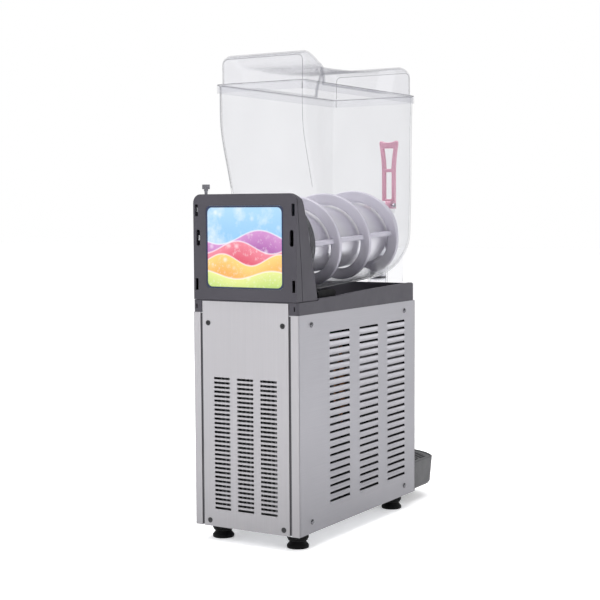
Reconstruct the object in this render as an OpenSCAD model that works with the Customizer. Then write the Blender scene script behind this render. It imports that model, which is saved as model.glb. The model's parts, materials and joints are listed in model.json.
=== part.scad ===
// Single-bowl frozen-drink (slush) machine: steel cabinet with a hermetic
// cooling set, rear motor tower, horizontal cooling drum with a helical
// stirring auger, clear removable bowl with lid and tap, and a drip tray.
// Origin: centre of the footprint on the counter. +Z up, front faces -Y.

/* [Cabinet] */
// Outside width of the steel cabinet
body_w = 200; // [196:1:204]
// Outside depth of the steel cabinet, rear face to front face
body_d = 407; // [405:1:409]
// Height of the levelling feet under the cabinet
foot_h = 26; // [22:1:30]
// Thickness of the steel cabinet sheets
sheet = 1.2; // [1:0.1:1.4]

/* [Louvres and vents] */
// Number of louvre rows in each side panel
louvre_rows = 23; // [10:1:23]
// Number of vent rows in the rear panel
vent_rows = 30; // [12:1:30]
// Height of one rear vent slot
vent_h = 3.8; // [2.4:0.1:4.6]

/* [Auger] */
// Outside radius of the auger flights
auger_r = 77.4; // [75:0.2:78]
// Advance of the helix for one turn
auger_pitch = 103.7; // [98:0.5:106]
// Radial depth of a flight
flight_d = 19.5; // [15:0.5:20]
// Axial thickness of a flight
flight_t = 8.5; // [6:0.5:10]

/* [Tap] */
// Width across the grip of the tap lever
lever_w = 38; // [34:1:44]
// Height of the tap lever above its pivot
lever_h = 122; // [100:1:126]

/* [Drip tray] */
// How far the drip tray stands out in front of the cabinet
tray_out = 135; // [126:1:146]
// Height of the drip tray
tray_h = 53; // [44:1:58]

/* [Hidden] */
$fn = 48;

z0 = foot_h;                 // underside of the cabinet
head_h = 1.5;                // standing height of a rear screw head
total_d = body_d + tray_out + head_h;
y_rear = total_d/2 - head_h; // rear face of the cabinet
cab_z = foot_h + 350.5;      // top of the steel cabinet
hw = body_w/2;
zs = foot_h - 30;            // whole upper works follow the feet
fs = body_d - 407;           // front parts follow the cabinet depth
e = 0.01;

// distance forward of the rear face -> y
function Y(d) = y_rear - d;

// auger axis: through (0, d = 300, z = 498.2), rising 2.7 degrees forward
tilt = 2.7;
ax_z = 498.2 + zs;
// children drawn with +Z along the axis, +Y up; s counts from the rear face
module on_axis(s = 0)
    translate([0, Y(300), ax_z]) rotate([90 - tilt, 0, 0])
        translate([0, 0, s - 300]) children();

// box given by x range, distance-from-rear range and z range
module bx(x1, x2, d1, d2, z1, z2)
    translate([x1, Y(d2), z1]) cube([x2 - x1, d2 - d1, z2 - z1]);

// side profile of (d, z) points extruded from x1 to x2
module side_prism(pts, x1, x2)
    translate([x1, 0, 0]) rotate([90, 0, 90]) linear_extrude(x2 - x1)
        polygon([for (p = pts) [Y(p[0]), p[1]]]);

// outline in x-z extruded from d1 to d2
module front_prism(d1, d2)
    translate([0, Y(d1), 0]) rotate([90, 0, 0]) linear_extrude(d2 - d1) children();

module rrect(x1, x2, y1, y2, r) {
    translate([x1 + r, y1]) square([x2 - x1 - 2*r, y2 - y1]);
    translate([x1, y1 + r]) square([x2 - x1, y2 - y1 - 2*r]);
    for (x = [x1 + r, x2 - r], y = [y1 + r, y2 - r]) translate([x, y]) circle(r);
}

// point given in the auger frame -> row frame
function A(x, y, s) = [x, Y(300) - (s - 300)*cos(tilt) + y*sin(tilt), ax_z + (s - 300)*sin(tilt) + y*cos(tilt)];

// eight-sided tube swept through a list of points
function unit(v) = v/norm(v);
function tangent(p, i) = unit(p[min(i + 1, len(p) - 1)] - p[max(i - 1, 0)]);
// points on a corner-rounded route: each inner corner becomes an arc-like run
function round_route(p, r, m = 5) = concat([p[0]],
    [for (i = [1:len(p) - 2]) let (a = unit(p[i - 1] - p[i]), b = unit(p[i + 1] - p[i]), k = min(r, 0.45*norm(p[i - 1] - p[i]), 0.45*norm(p[i + 1] - p[i])))
        for (j = [0:m]) let (t = j/m) p[i] + a*k*(1 - t)*(1 - t) + b*k*t*t], [p[len(p) - 1]]);
module tube_run(p, r, ref = [0.31, 0.2, 0.93]) {
    n = len(p);
    pts = [for (i = [0:n - 1]) let (t = tangent(p, i), u = unit(cross(t, ref)), v = cross(t, u))
        for (k = [0:7]) p[i] + r*(cos(45*k)*u + sin(45*k)*v)];
    fc = concat([[for (k = [0:7]) k]],
        [for (i = [0:n - 2], k = [0:7]) let (a = 8*i + k, b = 8*i + (k + 1)%8) each [[a, a + 8, b + 8], [a, b + 8, b]]],
        [[for (k = [7:-1:0]) 8*(n - 1) + k]]);
    polyhedron(pts, fc);
}

// ---------------------------------------------------------------- cabinet
foot_x = 72.5; foot_d1 = 40; foot_d2 = 366;

module base_pan() color([0.62, 0.62, 0.64]) difference() {
    union() {
        bx(-hw + 1.4, hw - 1.4, 1.4, body_d - 1.4, z0, z0 + 1.5);
        for (s = [-1, 1]) bx(min(s*(hw - 1.4), s*(hw - 2.8)), max(s*(hw - 1.4), s*(hw - 2.8)), 24, body_d - 24, z0, z0 + 14);
    }
    for (x = [-foot_x, foot_x], d = [foot_d1, foot_d2]) translate([x, Y(d), z0 - 1]) cylinder(h = 4, r = 4.1);
    translate([70, Y(90), z0 - 1]) cylinder(h = 4, r = 7.5);
    for (x = [-60, 60], d = [235, 345]) translate([x, Y(d), z0 - 1]) cylinder(h = 4, r = 3);
}

module foot(x, d) color([0.09, 0.09, 0.1]) translate([x, Y(d), 0]) {
    rotate_extrude() polygon([[0, 0], [17.6, 0], [18, 1.5], [18, 4], [14, foot_h - 17], [13.2, foot_h - 14.5],
        [16, foot_h - 13.5], [16.6, foot_h - 11], [16.6, foot_h - 6], [15, foot_h - 4], [15, foot_h - 0.02], [4, foot_h - 0.02],
        [4, foot_h + 9], [0, foot_h + 9]]);
    for (a = [10:20:350]) rotate([0, 0, a]) translate([15, -1, foot_h - 10.5]) cube([2.6, 2, 4]);
}
module levelling_feet() for (x = [-foot_x, foot_x], d = [foot_d1, foot_d2]) foot(x, d);

post_t = 1.5;
module post(s, d1, d2, flip) {
    xa = hw - 3; xb = hw - 24;
    difference() {
        union() {
            bx(min(s*xa, s*xb), max(s*xa, s*xb), flip ? d2 - post_t : d1, flip ? d2 : d1 + post_t, z0 + 1.5, cab_z - 1.5);
            bx(min(s*xa, s*(xa - post_t)), max(s*xa, s*(xa - post_t)), d1, d2, z0 + 1.5, cab_z - 1.5);
        }
        // screw holes
        if (!flip) for (z = [363.5 + zs, 39.4 + zs]) translate([s*(hw - 20), Y(0) + 1, z]) rotate([90, 0, 0]) cylinder(h = 8, r = 1.6);
    }
}
module frame_posts() color([0.3, 0.3, 0.32]) {
    for (s = [-1, 1]) { post(s, 1.4, 22, false); post(s, body_d - 22, body_d - 1.4, true); }
}

module deck_plate() color([0.66, 0.66, 0.68]) difference() {
    bx(-hw + 1.4, hw - 1.4, 1.4, body_d - 1.4, cab_z - 1.5, cab_z);
    bx(-45, 45, 22, 56, cab_z - 2, cab_z + 1);
}

lv_w = 69; lv_pitch = 12.52; lv_top = 345.5;
lv_cols = [130.5, 231, 331.75];
// side panel on the -X side; the louvres are pressed outwards
module side_sheet() difference() {
    union() {
        bx(-hw, -hw + sheet, 0, body_d, z0, cab_z);
        bx(-hw, -hw + 14, 0, sheet, z0, cab_z);
        bx(-hw, -hw + 14, body_d - sheet, body_d, z0, cab_z);
        for (d = lv_cols, i = [0:louvre_rows - 1]) {
            z = lv_top + zs - i*lv_pitch;
            side_louvre(d, z);
        }
    }
    for (d = lv_cols, i = [0:louvre_rows - 1]) {
        z = lv_top + zs - i*lv_pitch;
        bx(-hw - 1.0, -hw + 3, d - lv_w/2 + 2, d + lv_w/2 - 2, z - 1.6, z + 1.6);
    }
    for (d = [40, 364], z = [364 + zs, 48 + zs]) translate([-hw - 3, Y(d), z]) rotate([0, 90, 0]) cylinder(h = 8, r = 2);
}
module side_louvre(d, z) {
    translate([0, Y(d) + lv_w/2, 0]) rotate([90, 0, 0]) linear_extrude(lv_w)
        polygon([[-hw + 0.2, z - 6.4], [-hw - 0.6, z - 5.6], [-hw - 1.9, z - 2.2], [-hw - 1.9, z + 1.2], [-hw - 1.0, z + 1.2], [-hw + 0.2, z + 1.0]]);
}
module side_panel_left() color([0.71, 0.7, 0.74]) side_sheet();
module side_panel_right() color([0.71, 0.7, 0.74]) mirror([1, 0, 0]) side_sheet();

rp_hw = hw - 18; // half width of the rear panel
module rear_panel() color([0.77, 0.76, 0.78]) translate([0, Y(0), 0]) rotate([90, 0, 0]) linear_extrude(sheet) difference() {
    translate([-rp_hw, z0]) square([2*rp_hw, 369]);
    for (x = [-44.2, 0.3, 45], i = [0:vent_rows - 1]) translate([x, 274 + zs - i*7.34]) {
        rrect(-15.5, 15.5, -vent_h/2, vent_h/2, 0.8);
    }
    for (s = [-1, 1], z = [363.5 + zs, 39.4 + zs]) translate([s*71, z]) circle(2);
}

module front_panel() color([0.73, 0.73, 0.75]) difference() {
    bx(-hw + 15, hw - 15, body_d - sheet, body_d, z0, cab_z);
    bx(-39, 39, body_d - 3, body_d + 1, 337 + zs, 361 + zs);
    for (x = [-40, 40]) translate([x, Y(body_d) + 4, 46 + zs]) rotate([90, 0, 0]) cylinder(h = 8, r = 2);
}

module cap_screw(r, h, l) { // head stands on z = 0, shank below
    rotate_extrude() polygon([[0, h], [r*0.45, h], [r*0.8, h*0.75], [r, h*0.3], [r, 0], [1.95, 0], [1.95, -l], [0, -l]]);
}
module rear_screws() color([0.12, 0.12, 0.13]) for (s = [-1, 1], z = [363.5 + zs, 39.4 + zs])
    difference() {
        translate([s*71, Y(0), z]) rotate([-90, 0, 0]) cap_screw(4.4, head_h, 1.2);
        translate([s*71, Y(0) + head_h, z]) rotate([90, 0, 0]) cylinder(h = 1, r = 1.3, $fn = 6);
    }
module side_screws() color([0.7, 0.7, 0.72]) for (s = [-1, 1], d = [40, 364], z = [364 + zs, 48 + zs])
    translate([s*hw, Y(d), z]) rotate([0, s*90, 0]) cap_screw(4.4, 2.2, 2.6);

// ---------------------------------------------------------------- deck
module deck_collar() color([0.3, 0.29, 0.32]) difference() {
    intersection() {
        side_prism([[0, cab_z], [0, cab_z + 20], [62, cab_z + 20], [66, cab_z + 23.4], [122, cab_z + 24.2], [200, cab_z + 28], [272, cab_z + 30.5],
            [347, cab_z + 31.7], [387 + fs, cab_z + 32.5], [393 + fs, cab_z + 32.5], [398 + fs, cab_z + 31], [401.8 + fs, cab_z + 27.4], [403 + fs, cab_z + 22.5], [403 + fs, cab_z]], -hw, hw);
        translate([0, 0, cab_z - 1]) linear_extrude(60) rrect(-hw, hw, Y(403 + fs), Y(0), 5);
    }
    // drip well inside the rim
    bx(-hw + 6, hw - 6, 70, 397 + fs, cab_z + 5, cab_z + 60);
    // rear notch for the rear panel, and the pipe opening
    bx(-rp_hw - 1.5, rp_hw + 1.5, -1, 2, cab_z - 1, cab_z + 18.8);
    bx(-45, 45, 22, 56, cab_z - 1, cab_z + 40);
    for (s = [-1, 1]) bx(s*93 - 1.2, s*93 + 1.2, -1, 5, 387 + zs, 394 + zs);
}
module bowl_rests() color([0.06, 0.06, 0.07]) for (s = [-1, 1]) difference() {
    side_prism([[76, cab_z + 5], [76, cab_z + 32], [84, cab_z + 35.5], [126, cab_z + 35.5], [132, cab_z + 31], [132, cab_z + 5]], s > 0 ? 34 : -hw + 8, s > 0 ? hw - 8 : -34);
    on_axis(40) cylinder(h = 120, r = 86.6);
}

// ---------------------------------------------------------------- tower
t_hw = 98.3; t_z1 = 401.2 + zs; t_z2 = 571.3 + zs;
module tower_outline(i) {
    r = 14 - i;
    translate([-t_hw + i, t_z1 + i]) square([2*(t_hw - i), t_z2 - t_z1 - 2*i - r]);
    translate([-t_hw + i + r, t_z2 - i - r - 1]) square([2*(t_hw - i - r), r + 1]);
    for (s = [-1, 1]) translate([s*(t_hw - i - r), t_z2 - i - r]) circle(r, $fn = 64);
}
seam = [[17.8, t_z1], [17.6, 403 + zs], [14.5, 452 + zs], [3.9, 557.5 + zs], [3.1, t_z2]];
t_front = [[12.4, 566 + zs], [18.6, 561 + zs], [24.8, 545 + zs], [34.5, 514 + zs], [42.7, 482 + zs], [61.8, 408 + zs], [61.8, t_z1]];
module tower_outer() intersection() {
    front_prism(0, 66) tower_outline(0);
    side_prism(concat([[17.8, t_z1]], [for (i = [1:4]) seam[i]], [[6, t_z2]], t_front), -t_hw, t_hw);
}
module tower_shell() color([0.31, 0.3, 0.33]) difference() {
    tower_outer();
    intersection() {
        front_prism(-1, 66) tower_outline(3);
        side_prism([[10, t_z1], [-1, 500 + zs], [-1, t_z2], [5.5, 568 + zs], [10.4, 563.4 + zs], [15.9, 559 + zs], [21.8, 544 + zs], [31.5, 513.2 + zs], [39.7, 481.4 + zs], [58.6, 407 + zs], [58.6, t_z1]], -t_hw, t_hw);
    }
    on_axis(10) cylinder(h = 90, r = 66);       // opening for the gear motor
    translate([78, Y(8), t_z2 - 12]) cylinder(h = 16, r = 2.6);
    bx(-42, 42, 24, 54, t_z1 - 1, t_z1 + 5);
}
module tower_rear_cover() color([0.33, 0.32, 0.35]) difference() {
    intersection() {
        front_prism(0, 30) tower_outline(0);
        side_prism([[0, t_z1], [16.6, t_z1], [16.4, 403 + zs], [13.3, 452 + zs], [2.7, 557.5 + zs], [2.0, t_z2], [0, t_z2]], -t_hw, t_hw);
    }
    intersection() {
        front_prism(3, 30) tower_outline(3);
        bx(-t_hw, t_hw, 3, 30, t_z1 - 1, t_z2 + 1);
    }
    front_prism(-1, 6) rrect(-73.5, 73.5, 420 + zs, 552.5 + zs, 8);
    // clip slots and the density window
    for (s = [-1, 1]) {
        bx(s*92 - 2.8, s*92 + 2.8, -1, 6, 536 + zs, 555 + zs);
        bx(s*92.2 - 2.8, s*92.2 + 2.8, -1, 6, 416.5 + zs, 435.5 + zs);
        front_prism(-1, 6) rrect(s*89 - 3.5, s*89 + 3.5, 488 + zs, 514.5 + zs, 3.4);
    }
}
module picture_lens() color([0.55, 0.75, 0.9]) front_prism(0.8, 2.8) rrect(-73.4, 73.4, 420.1 + zs, 552.4 + zs, 8);
module led_board() color([0.9, 0.92, 0.88]) {
    bx(-72, 72, 9, 10.6, 424 + zs, 549 + zs);
    for (z = [436, 461, 486, 511, 536], x = [-60:20:60]) bx(x - 2.5, x + 2.5, 7.6, 9, z - 2.5 + zs, z + 2.5 + zs);
    for (x = [-68, 68], z = [430, 543]) translate([x, Y(9), z + zs]) rotate([-90, 0, 0]) cylinder(h = 6.2, r = 2.2);
}

// density adjuster: knurled screw, its nut, and the arm it loads
module density_screw() color([0.75, 0.75, 0.77]) translate([78, Y(8), 0]) {
    translate([0, 0, 514 + zs]) cylinder(h = 67, r = 2.5);
    translate([0, 0, 579.5 + zs]) difference() {
        cylinder(h = 7.5, r = 6.2);
        for (a = [0:30:330]) rotate([0, 0, a]) translate([6.6, 0, -1]) cylinder(h = 10, r = 0.9, $fn = 16);
    }
    translate([0, 0, 576.2 + zs]) cylinder(h = 3.4, r = 3.4);
}
module density_nut() color([0.65, 0.65, 0.67]) difference() {
    bx(73, t_hw - 3.05, 3.4, 13.4, 543 + zs, 550 + zs);
    translate([78, Y(8), 500 + zs]) cylinder(h = 100, r = 2.56);
}
module density_spring() color([0.7, 0.71, 0.73]) translate([78, Y(8), 0]) for (k = [0:3])
    translate([0, 0, 519.5 + zs + k*6.6]) rotate_extrude() translate([3.9, 0]) circle(0.6, $fn = 16);
module torque_arm() color([0.8, 0.8, 0.82]) {
    bx(33, 35, 29, 57.75, 489 + zs, 499 + zs);
    bx(33, 86, 29, 31, 489 + zs, 502 + zs);
    bx(76, 86, 5, 31, 500 + zs, 502 + zs);
    bx(84.4, 91.2, 3.5, 5.1, 497 + zs, 505 + zs);
}

// ---------------------------------------------------------------- drive
module gearbox() color([0.55, 0.56, 0.58]) on_axis(58) difference() {
    union() {
        cylinder(h = 26, r = 39);
        cylinder(h = 27.5, r = 12);
        for (a = [30:60:330]) rotate([0, 0, a]) translate([36, 0, 0]) cylinder(h = 25, r = 5);
    }
    translate([0, 0, 4]) cylinder(h = 30, r = 5.05);
}
module gear_motor() color([0.35, 0.36, 0.4]) on_axis(24) {
    translate([0, -10, 0]) cylinder(h = 34, r = 30);
    translate([0, -10, -4]) cylinder(h = 5, r = 9);
    translate([-24, 14, 6]) cube([36, 16, 24]);
}
module seal_flange() color([0.86, 0.86, 0.88]) difference() {
    on_axis(10) cylinder(h = 86, r = 75.5, $fn = 96);
    tower_outer();
    bx(-120, 120, -20, 17, 380 + zs, 700 + zs);
    side_prism([[16, 700 + zs], [16, 561 + zs], [19, 561 + zs], [25.2, 545 + zs], [34.9, 514 + zs], [43.1, 482 + zs], [62.2, 408 + zs], [62.2, 380 + zs], [0, 380 + zs], [0, 700 + zs]], -120, 120);
    on_axis(5) cylinder(h = 81, r = 66);
    on_axis(80) cylinder(h = 30, r = 9);
    for (x = [-20, 20]) on_axis(80) translate([x, -42.5, 0]) cylinder(h = 30, r = 3.6);
    on_axis(79) difference() { cylinder(h = 14, r = 90); cylinder(h = 16, r = 73.5, $fn = 96); }
}
module bowl_gasket() color([0.16, 0.16, 0.17]) on_axis(79.2) rotate_extrude($fn = 96)
    polygon([[73.5, 0], [77, 0], [79.3, 2.5], [79.3, 4.5], [77.6, 6], [79.3, 7.5], [79.3, 9.5], [77, 13.6], [73.5, 13.6]]);
module evaporator_drum() color([0.74, 0.74, 0.76]) on_axis(0) rotate_extrude($fn = 96)
    polygon([[53.6, 96], [55, 96], [55, 386], [53.5, 389.5], [50, 391.5], [44, 392.5], [12, 394], [12, 397], [9, 397], [9, 96], [11, 96], [11, 390], [43, 389], [49.5, 388.2], [52.3, 386.8], [53.6, 385]]);
module evaporator_coil() color([0.72, 0.45, 0.3]) on_axis(0) {
    for (s = [112:24:376]) translate([0, 0, s]) difference() {
        cylinder(h = 6, r = 52.4);
        translate([0, 0, -1]) cylinder(h = 8, r = 43.4);
    }
    for (x = [-20, 20]) translate([x, -42.5, 96.05]) cylinder(h = x < 0 ? 282 : 18, r = 3.5);
}
module shaft_bushes() color([0.78, 0.62, 0.35]) {
    on_axis(86) difference() { cylinder(h = 10, r = 9); translate([0, 0, -1]) cylinder(h = 14, r = 5.05); }
    on_axis(379) difference() { cylinder(h = 16, r = 9); translate([0, 0, -1]) cylinder(h = 20, r = 5.05); }
}
module shaft_seal() color([0.15, 0.15, 0.16]) on_axis(397) difference() {
    cylinder(h = 3.4, r = 13);
    translate([0, 0, -1]) cylinder(h = 8, r = 5.05);
}
module drive_shaft() color([0.7, 0.71, 0.73]) {
    on_axis(66) cylinder(h = 339, r = 5);
    on_axis(404.9) cylinder(h = 14, r = 5.2, $fn = 6);
}

// helical ribbon: theta in degrees from the top towards -X, moving forward
th0 = -157.5; th1 = 900; th_step = 11.25;
s_top = 149.2; // where the first flight crosses the top
function flight_pt(r, th, o) = [-r*sin(th), r*cos(th), s_top + auger_pitch*th/360 + o];
module flight() {
    n = (th1 - th0)/th_step;
    ri = auger_r - flight_d;
    w = flight_t/2;
    pts = [for (i = [0:n]) let (th = th0 + i*th_step)
        each [flight_pt(ri, th, -w*0.7), flight_pt(auger_r, th, -w), flight_pt(auger_r, th, w), flight_pt(ri, th, w*0.7)]];
    fc = concat([[3, 2, 1, 0]],
        [for (i = [0:n - 1], k = [0:3]) let (a = 4*i + k, b = 4*i + (k + 1)%4) each [[a, b, b + 4], [a, b + 4, a + 4]]],
        [[4*n, 4*n + 1, 4*n + 2, 4*n + 3]]);
    polyhedron(pts, fc);
}
module auger() color([0.8, 0.79, 0.83]) on_axis(0) {
    flight();
    for (s = [-1, 1]) translate([s < 0 ? -66.5 : 58.5, -4.2, 98]) cube([8, 8.4, 304]);
    translate([0, 0, 98]) difference() { cylinder(h = 9, r = 66, $fn = 96); translate([0, 0, -1]) cylinder(h = 12, r = 58, $fn = 96); }
    translate([0, 0, 401.6]) difference() {
        cylinder(h = 6, r = 66, $fn = 96);
        translate([0, 0, -1]) cylinder(h = 9, r = 30, $fn = 96);
        for (a = [45:90:315]) rotate([0, 0, a]) translate([46, 0, -1]) cylinder(h = 9, r = 10);
    }
}
module auger_nose() color([0.76, 0.75, 0.8]) on_axis(401.6) difference() {
    union() {
        cylinder(h = 14, r = 29.9);
        translate([0, 0, 14 - e]) cylinder(h = 8, r1 = 22, r2 = 9);
    }
    translate([0, 0, -1]) cylinder(h = 19.5, r = 5.3, $fn = 6);
    translate([0, 0, -1]) cylinder(h = 4.6, r = 14);
}

// ---------------------------------------------------------------- bowl
b_hw = 83; b_t = 3;
b_top = 748.3 + zs;
module bowl_box(i) side_prism([[47.5 + i, b_top + (i > 0 ? 5 : 0)], [47.5 + i, 690 + zs], [57.5 + i, 644 + zs], [68 + i, 612 + zs], [79 + i, 575.5 + zs], [101 + i, 499 + zs], [101 + i, 489 + zs],
    [431 - i*1.1, 504.4 + zs], [434 - i, 561 + zs], [435.5 - i, 653 + zs], [439.5 - i, b_top + (i > 0 ? 5 : 0)]], -b_hw + i, b_hw - i);
tap_d = 452; tap_r = 19; tap_z1 = 403 + zs; tap_z2 = 541 + zs;
pv_d = 482; pv_z = 552 + zs;
module bowl() color([0.85, 0.9, 0.94, 0.35]) difference() {
    union() {
        bowl_box(0);
        on_axis(101) cylinder(h = 330, r = 86, $fn = 96);
        on_axis(68) cylinder(h = 34, r = 84, $fn = 96);
        // front skirt standing on the deck
        bx(-78, 78, 399, 402, 414.5 + zs, 470 + zs);
        // tap barrel, its duct and the lever ears
        translate([0, Y(tap_d), tap_z1]) cylinder(h = tap_z2 - tap_z1, r = tap_r);
        bx(-16, 16, 429, tap_d, 419 + zs, 442 + zs);
        for (s = [-1, 1]) side_prism([[tap_d, 520 + zs], [tap_d, 540 + zs], [474, 560 + zs], [490, 560 + zs], [490, 546 + zs], [466, 520 + zs]], s > 0 ? 15.6 : -18.6, s > 0 ? 18.6 : -15.6);
    }
    bowl_box(b_t);
    on_axis(104) cylinder(h = 324, r = 82.4, $fn = 96);
    on_axis(60) cylinder(h = 60, r = 79.8, $fn = 96);
    translate([0, Y(tap_d), tap_z1 - 1]) cylinder(h = 200, r = 15.5);
    bx(-12, 12, 420, tap_d, 423.5 + zs, 437 + zs);
    translate([-30, Y(pv_d), pv_z]) rotate([0, 90, 0]) cylinder(h = 60, r = 2.55);
}

// clear lid: skirt, flat flange and a two-humped dome with side grips
l_z = 750.7 + zs;
lid_top = [[57, 785], [60, 794], [66, 798], [72, 798.7], [87.5, 795.5], [96.8, 791.6], [106, 786], [119, 780.5], [201, 781], [253, 782.5], [330, 787.5], [380, 797], [403, 800], [415, 799.5], [425, 795.7], [430, 788]];
module lid_dome(i, w) intersection() {
    side_prism(concat([[54 + i, l_z - 3.1], [54 + i, 768 + zs]], [for (p = lid_top) [p[0] + (p[0] < 62 ? i : p[0] > 424 ? -i : 0), p[1] + zs - i]], [[434 - i, 768 + zs], [435 - i, l_z - 3.1]]), -w, w);
    front_prism(40, 450) polygon([[-w, l_z - 3.1], [-w, 758 + zs], [-w + 3, 782 + zs - i], [-w + 8, 793 + zs - i], [-w + 15, 801 + zs - i], [w - 15, 801 + zs - i], [w - 8, 793 + zs - i], [w - 3, 782 + zs - i], [w, 758 + zs], [w, l_z - 3.1]]);
}
module lid_solid(i) difference() {
    lid_dome(i, 79.3 - i);
    for (s = [-1, 1]) side_prism([[128 - i, l_z - i], [352 + i, l_z - i], [376 + i, l_z + 60], [112 - i, l_z + 60]], s > 0 ? 64 - i : -90, s > 0 ? 90 : -64 + i);
}
module bowl_lid() color([0.87, 0.92, 0.96, 0.35]) difference() {
    union() {
        bx(-85.3, 85.3, 45, 441.8, l_z - 14, l_z);
        lid_solid(0);
    }
    bx(-83.3, 83.3, 47.2, 439.8, l_z - 15, l_z - 2.2);
    lid_solid(2.2);
    bx(-77, 77, 56.3, 432.5, l_z - 4, l_z + 0.5);
}

// ---------------------------------------------------------------- tap
module tap_piston() color([0.9, 0.9, 0.91]) translate([0, Y(tap_d), 0]) difference() {
    union() {
        translate([0, 0, 414 + zs]) cylinder(h = 86, r = 14.9);
        translate([0, 0, 499 + zs]) cylinder(h = 57.2, r = 7);
        translate([0, 0, 555.2 + zs]) cylinder(h = 5, r = 14);
    }
    for (z = [416.4, 441, 494]) translate([0, 0, z + zs]) difference() { cylinder(h = 3.4, r = 20); translate([0, 0, -1]) cylinder(h = 6, r = 13); }
}
module tap_rings() color([0.1, 0.1, 0.1]) translate([0, Y(tap_d), 0]) for (z = [416.4, 441, 494])
    translate([0, 0, z + 0.1 + zs]) difference() { cylinder(h = 3.2, r = 15.44); translate([0, 0, -1]) cylinder(h = 6, r = 13); }
module tap_spring() color([0.75, 0.76, 0.78]) translate([0, Y(tap_d), 0]) for (k = [0:5])
    translate([0, 0, 501.6 + zs + k*6.7]) rotate_extrude() translate([11, 0]) circle(1.2, $fn = 16);
module tap_cap() color([0.88, 0.88, 0.9]) translate([0, Y(tap_d), 0]) difference() {
    union() {
        translate([0, 0, 537 + zs]) cylinder(h = 5, r = 15.45);
        translate([0, 0, 541.9 + zs]) cylinder(h = 1.7, r = 12);
    }
    translate([0, 0, 530 + zs]) cylinder(h = 20, r = 7.4);
}
module tap_lever() color([0.78, 0.16, 0.2]) difference() {
    union() {
        // upright frame with two windows
        translate([0, Y(494), 0]) rotate([90, 0, 0]) linear_extrude(8) difference() {
            polygon([[-13.6, pv_z - 6], [-13.6, pv_z + 66], [-14.6, pv_z + 84], [-lever_w/2, pv_z + lever_h - 6], [-lever_w/2 + 3, pv_z + lever_h],
                [lever_w/2 - 3, pv_z + lever_h], [lever_w/2, pv_z + lever_h - 6], [14.6, pv_z + 84], [13.6, pv_z + 66], [13.6, pv_z - 6]]);
            polygon([[-7, pv_z + 12], [-7, pv_z + 63], [7, pv_z + 63], [7, pv_z + 12]]);
            polygon([[-7.4, pv_z + 69], [-11, pv_z + lever_h - 13], [11, pv_z + lever_h - 13], [7.4, pv_z + 69]]);
        }
        // pivot block and the two fingers under the piston head
        side_prism([[474, pv_z - 6], [474, pv_z + 6], [495, pv_z + 9], [495, pv_z - 6]], -13.6, 13.6);
        for (s = [-1, 1]) side_prism([[450, pv_z - 2.6], [449, pv_z], [450, pv_z + 2.6], [476, pv_z + 2.9], [476, pv_z - 4]], s > 0 ? 8.2 : -12.6, s > 0 ? 12.6 : -8.2);
    }
    translate([-30, Y(pv_d), pv_z]) rotate([0, 90, 0]) cylinder(h = 60, r = 2.55);
}
module tap_pivot_pin() color([0.78, 0.79, 0.8]) translate([-20.4, Y(pv_d), pv_z]) rotate([0, 90, 0]) {
    translate([0, 0, 1.6]) cylinder(h = 38.4, r = 2.5);
    cylinder(h = 1.6, r = 4.2);
}

// ---------------------------------------------------------------- drip tray
tr_d1 = body_d + 2.4; tr_d2 = body_d + tray_out; tr_z1 = 28 + zs; tr_z2 = tr_z1 + tray_h;
tr_hw = 95;
// plan: a bowed front of radius rb run into corners of radius rc
rb = 114.4; rc = 24;
tr_cd = tr_d2 - rb;
tr_cy = sqrt((rb - rc)*(rb - rc) - (tr_hw - rc)*(tr_hw - rc));
module tray_plan(i) {
    translate([-tr_hw + i, Y(tr_cd + tr_cy)]) square([2*(tr_hw - i), tr_cd + tr_cy - tr_d1 - i]);
    for (s = [-1, 1]) translate([s*(tr_hw - rc), Y(tr_cd + tr_cy)]) circle(rc - i, $fn = 64);
    intersection() {
        translate([0, Y(tr_cd)]) circle(rb - i, $fn = 128);
        translate([0, Y(tr_cd)]) polygon([[0, 0], [-(tr_hw - rc)*1.6, -tr_cy*1.6], [0, -300], [(tr_hw - rc)*1.6, -tr_cy*1.6]]);
    }
}
module drip_tray() color([0.34, 0.34, 0.36]) difference() {
    union() {
        translate([0, 0, tr_z1 + 5]) linear_extrude(tray_h - 5) tray_plan(0);
        translate([0, 0, tr_z1 + 2]) linear_extrude(3.1) tray_plan(2);
        translate([0, 0, tr_z1]) linear_extrude(2.1) tray_plan(5);
    }
    translate([0, 0, tr_z1 + 3]) linear_extrude(tray_h) tray_plan(7);
    translate([0, 0, tr_z2 - 5]) linear_extrude(6) tray_plan(3);
    // hook slots at the back
    for (x = [-40, 40]) bx(x - 7, x + 7, tr_d1 - 1, tr_d1 + 3.2, 50 + zs, 64 + zs);
}
module drip_grille() color([0.4, 0.4, 0.42]) difference() {
    translate([0, 0, tr_z2 - 4.9]) linear_extrude(3.4) tray_plan(3.4);
    for (x = [-80:8:80]) {
        bx(x - 2.2, x + 2.2, tr_d1 + 9, tr_d1 + 49, tr_z2 - 8, tr_z2 + 2);
        bx(x - 2.2, x + 2.2, tr_d1 + 55, tr_cd + sqrt((rb - 14)*(rb - 14) - x*x), tr_z2 - 8, tr_z2 + 2);
    }
}
module tray_bracket() color([0.68, 0.68, 0.7]) difference() {
    union() {
        bx(-60, 60, body_d, body_d + 1.5, 40 + zs, 72 + zs);
        for (x = [-40, 40]) {
            bx(x - 5, x + 5, body_d + 1.4, body_d + 5, 51.5 + zs, 53 + zs);
            bx(x - 5, x + 5, body_d + 3.6, body_d + 5, 51.5 + zs, 60 + zs);
        }
    }
    for (x = [-40, 40]) translate([x, Y(body_d) + 4, 46 + zs]) rotate([90, 0, 0]) cylinder(h = 8, r = 2);
}

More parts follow.
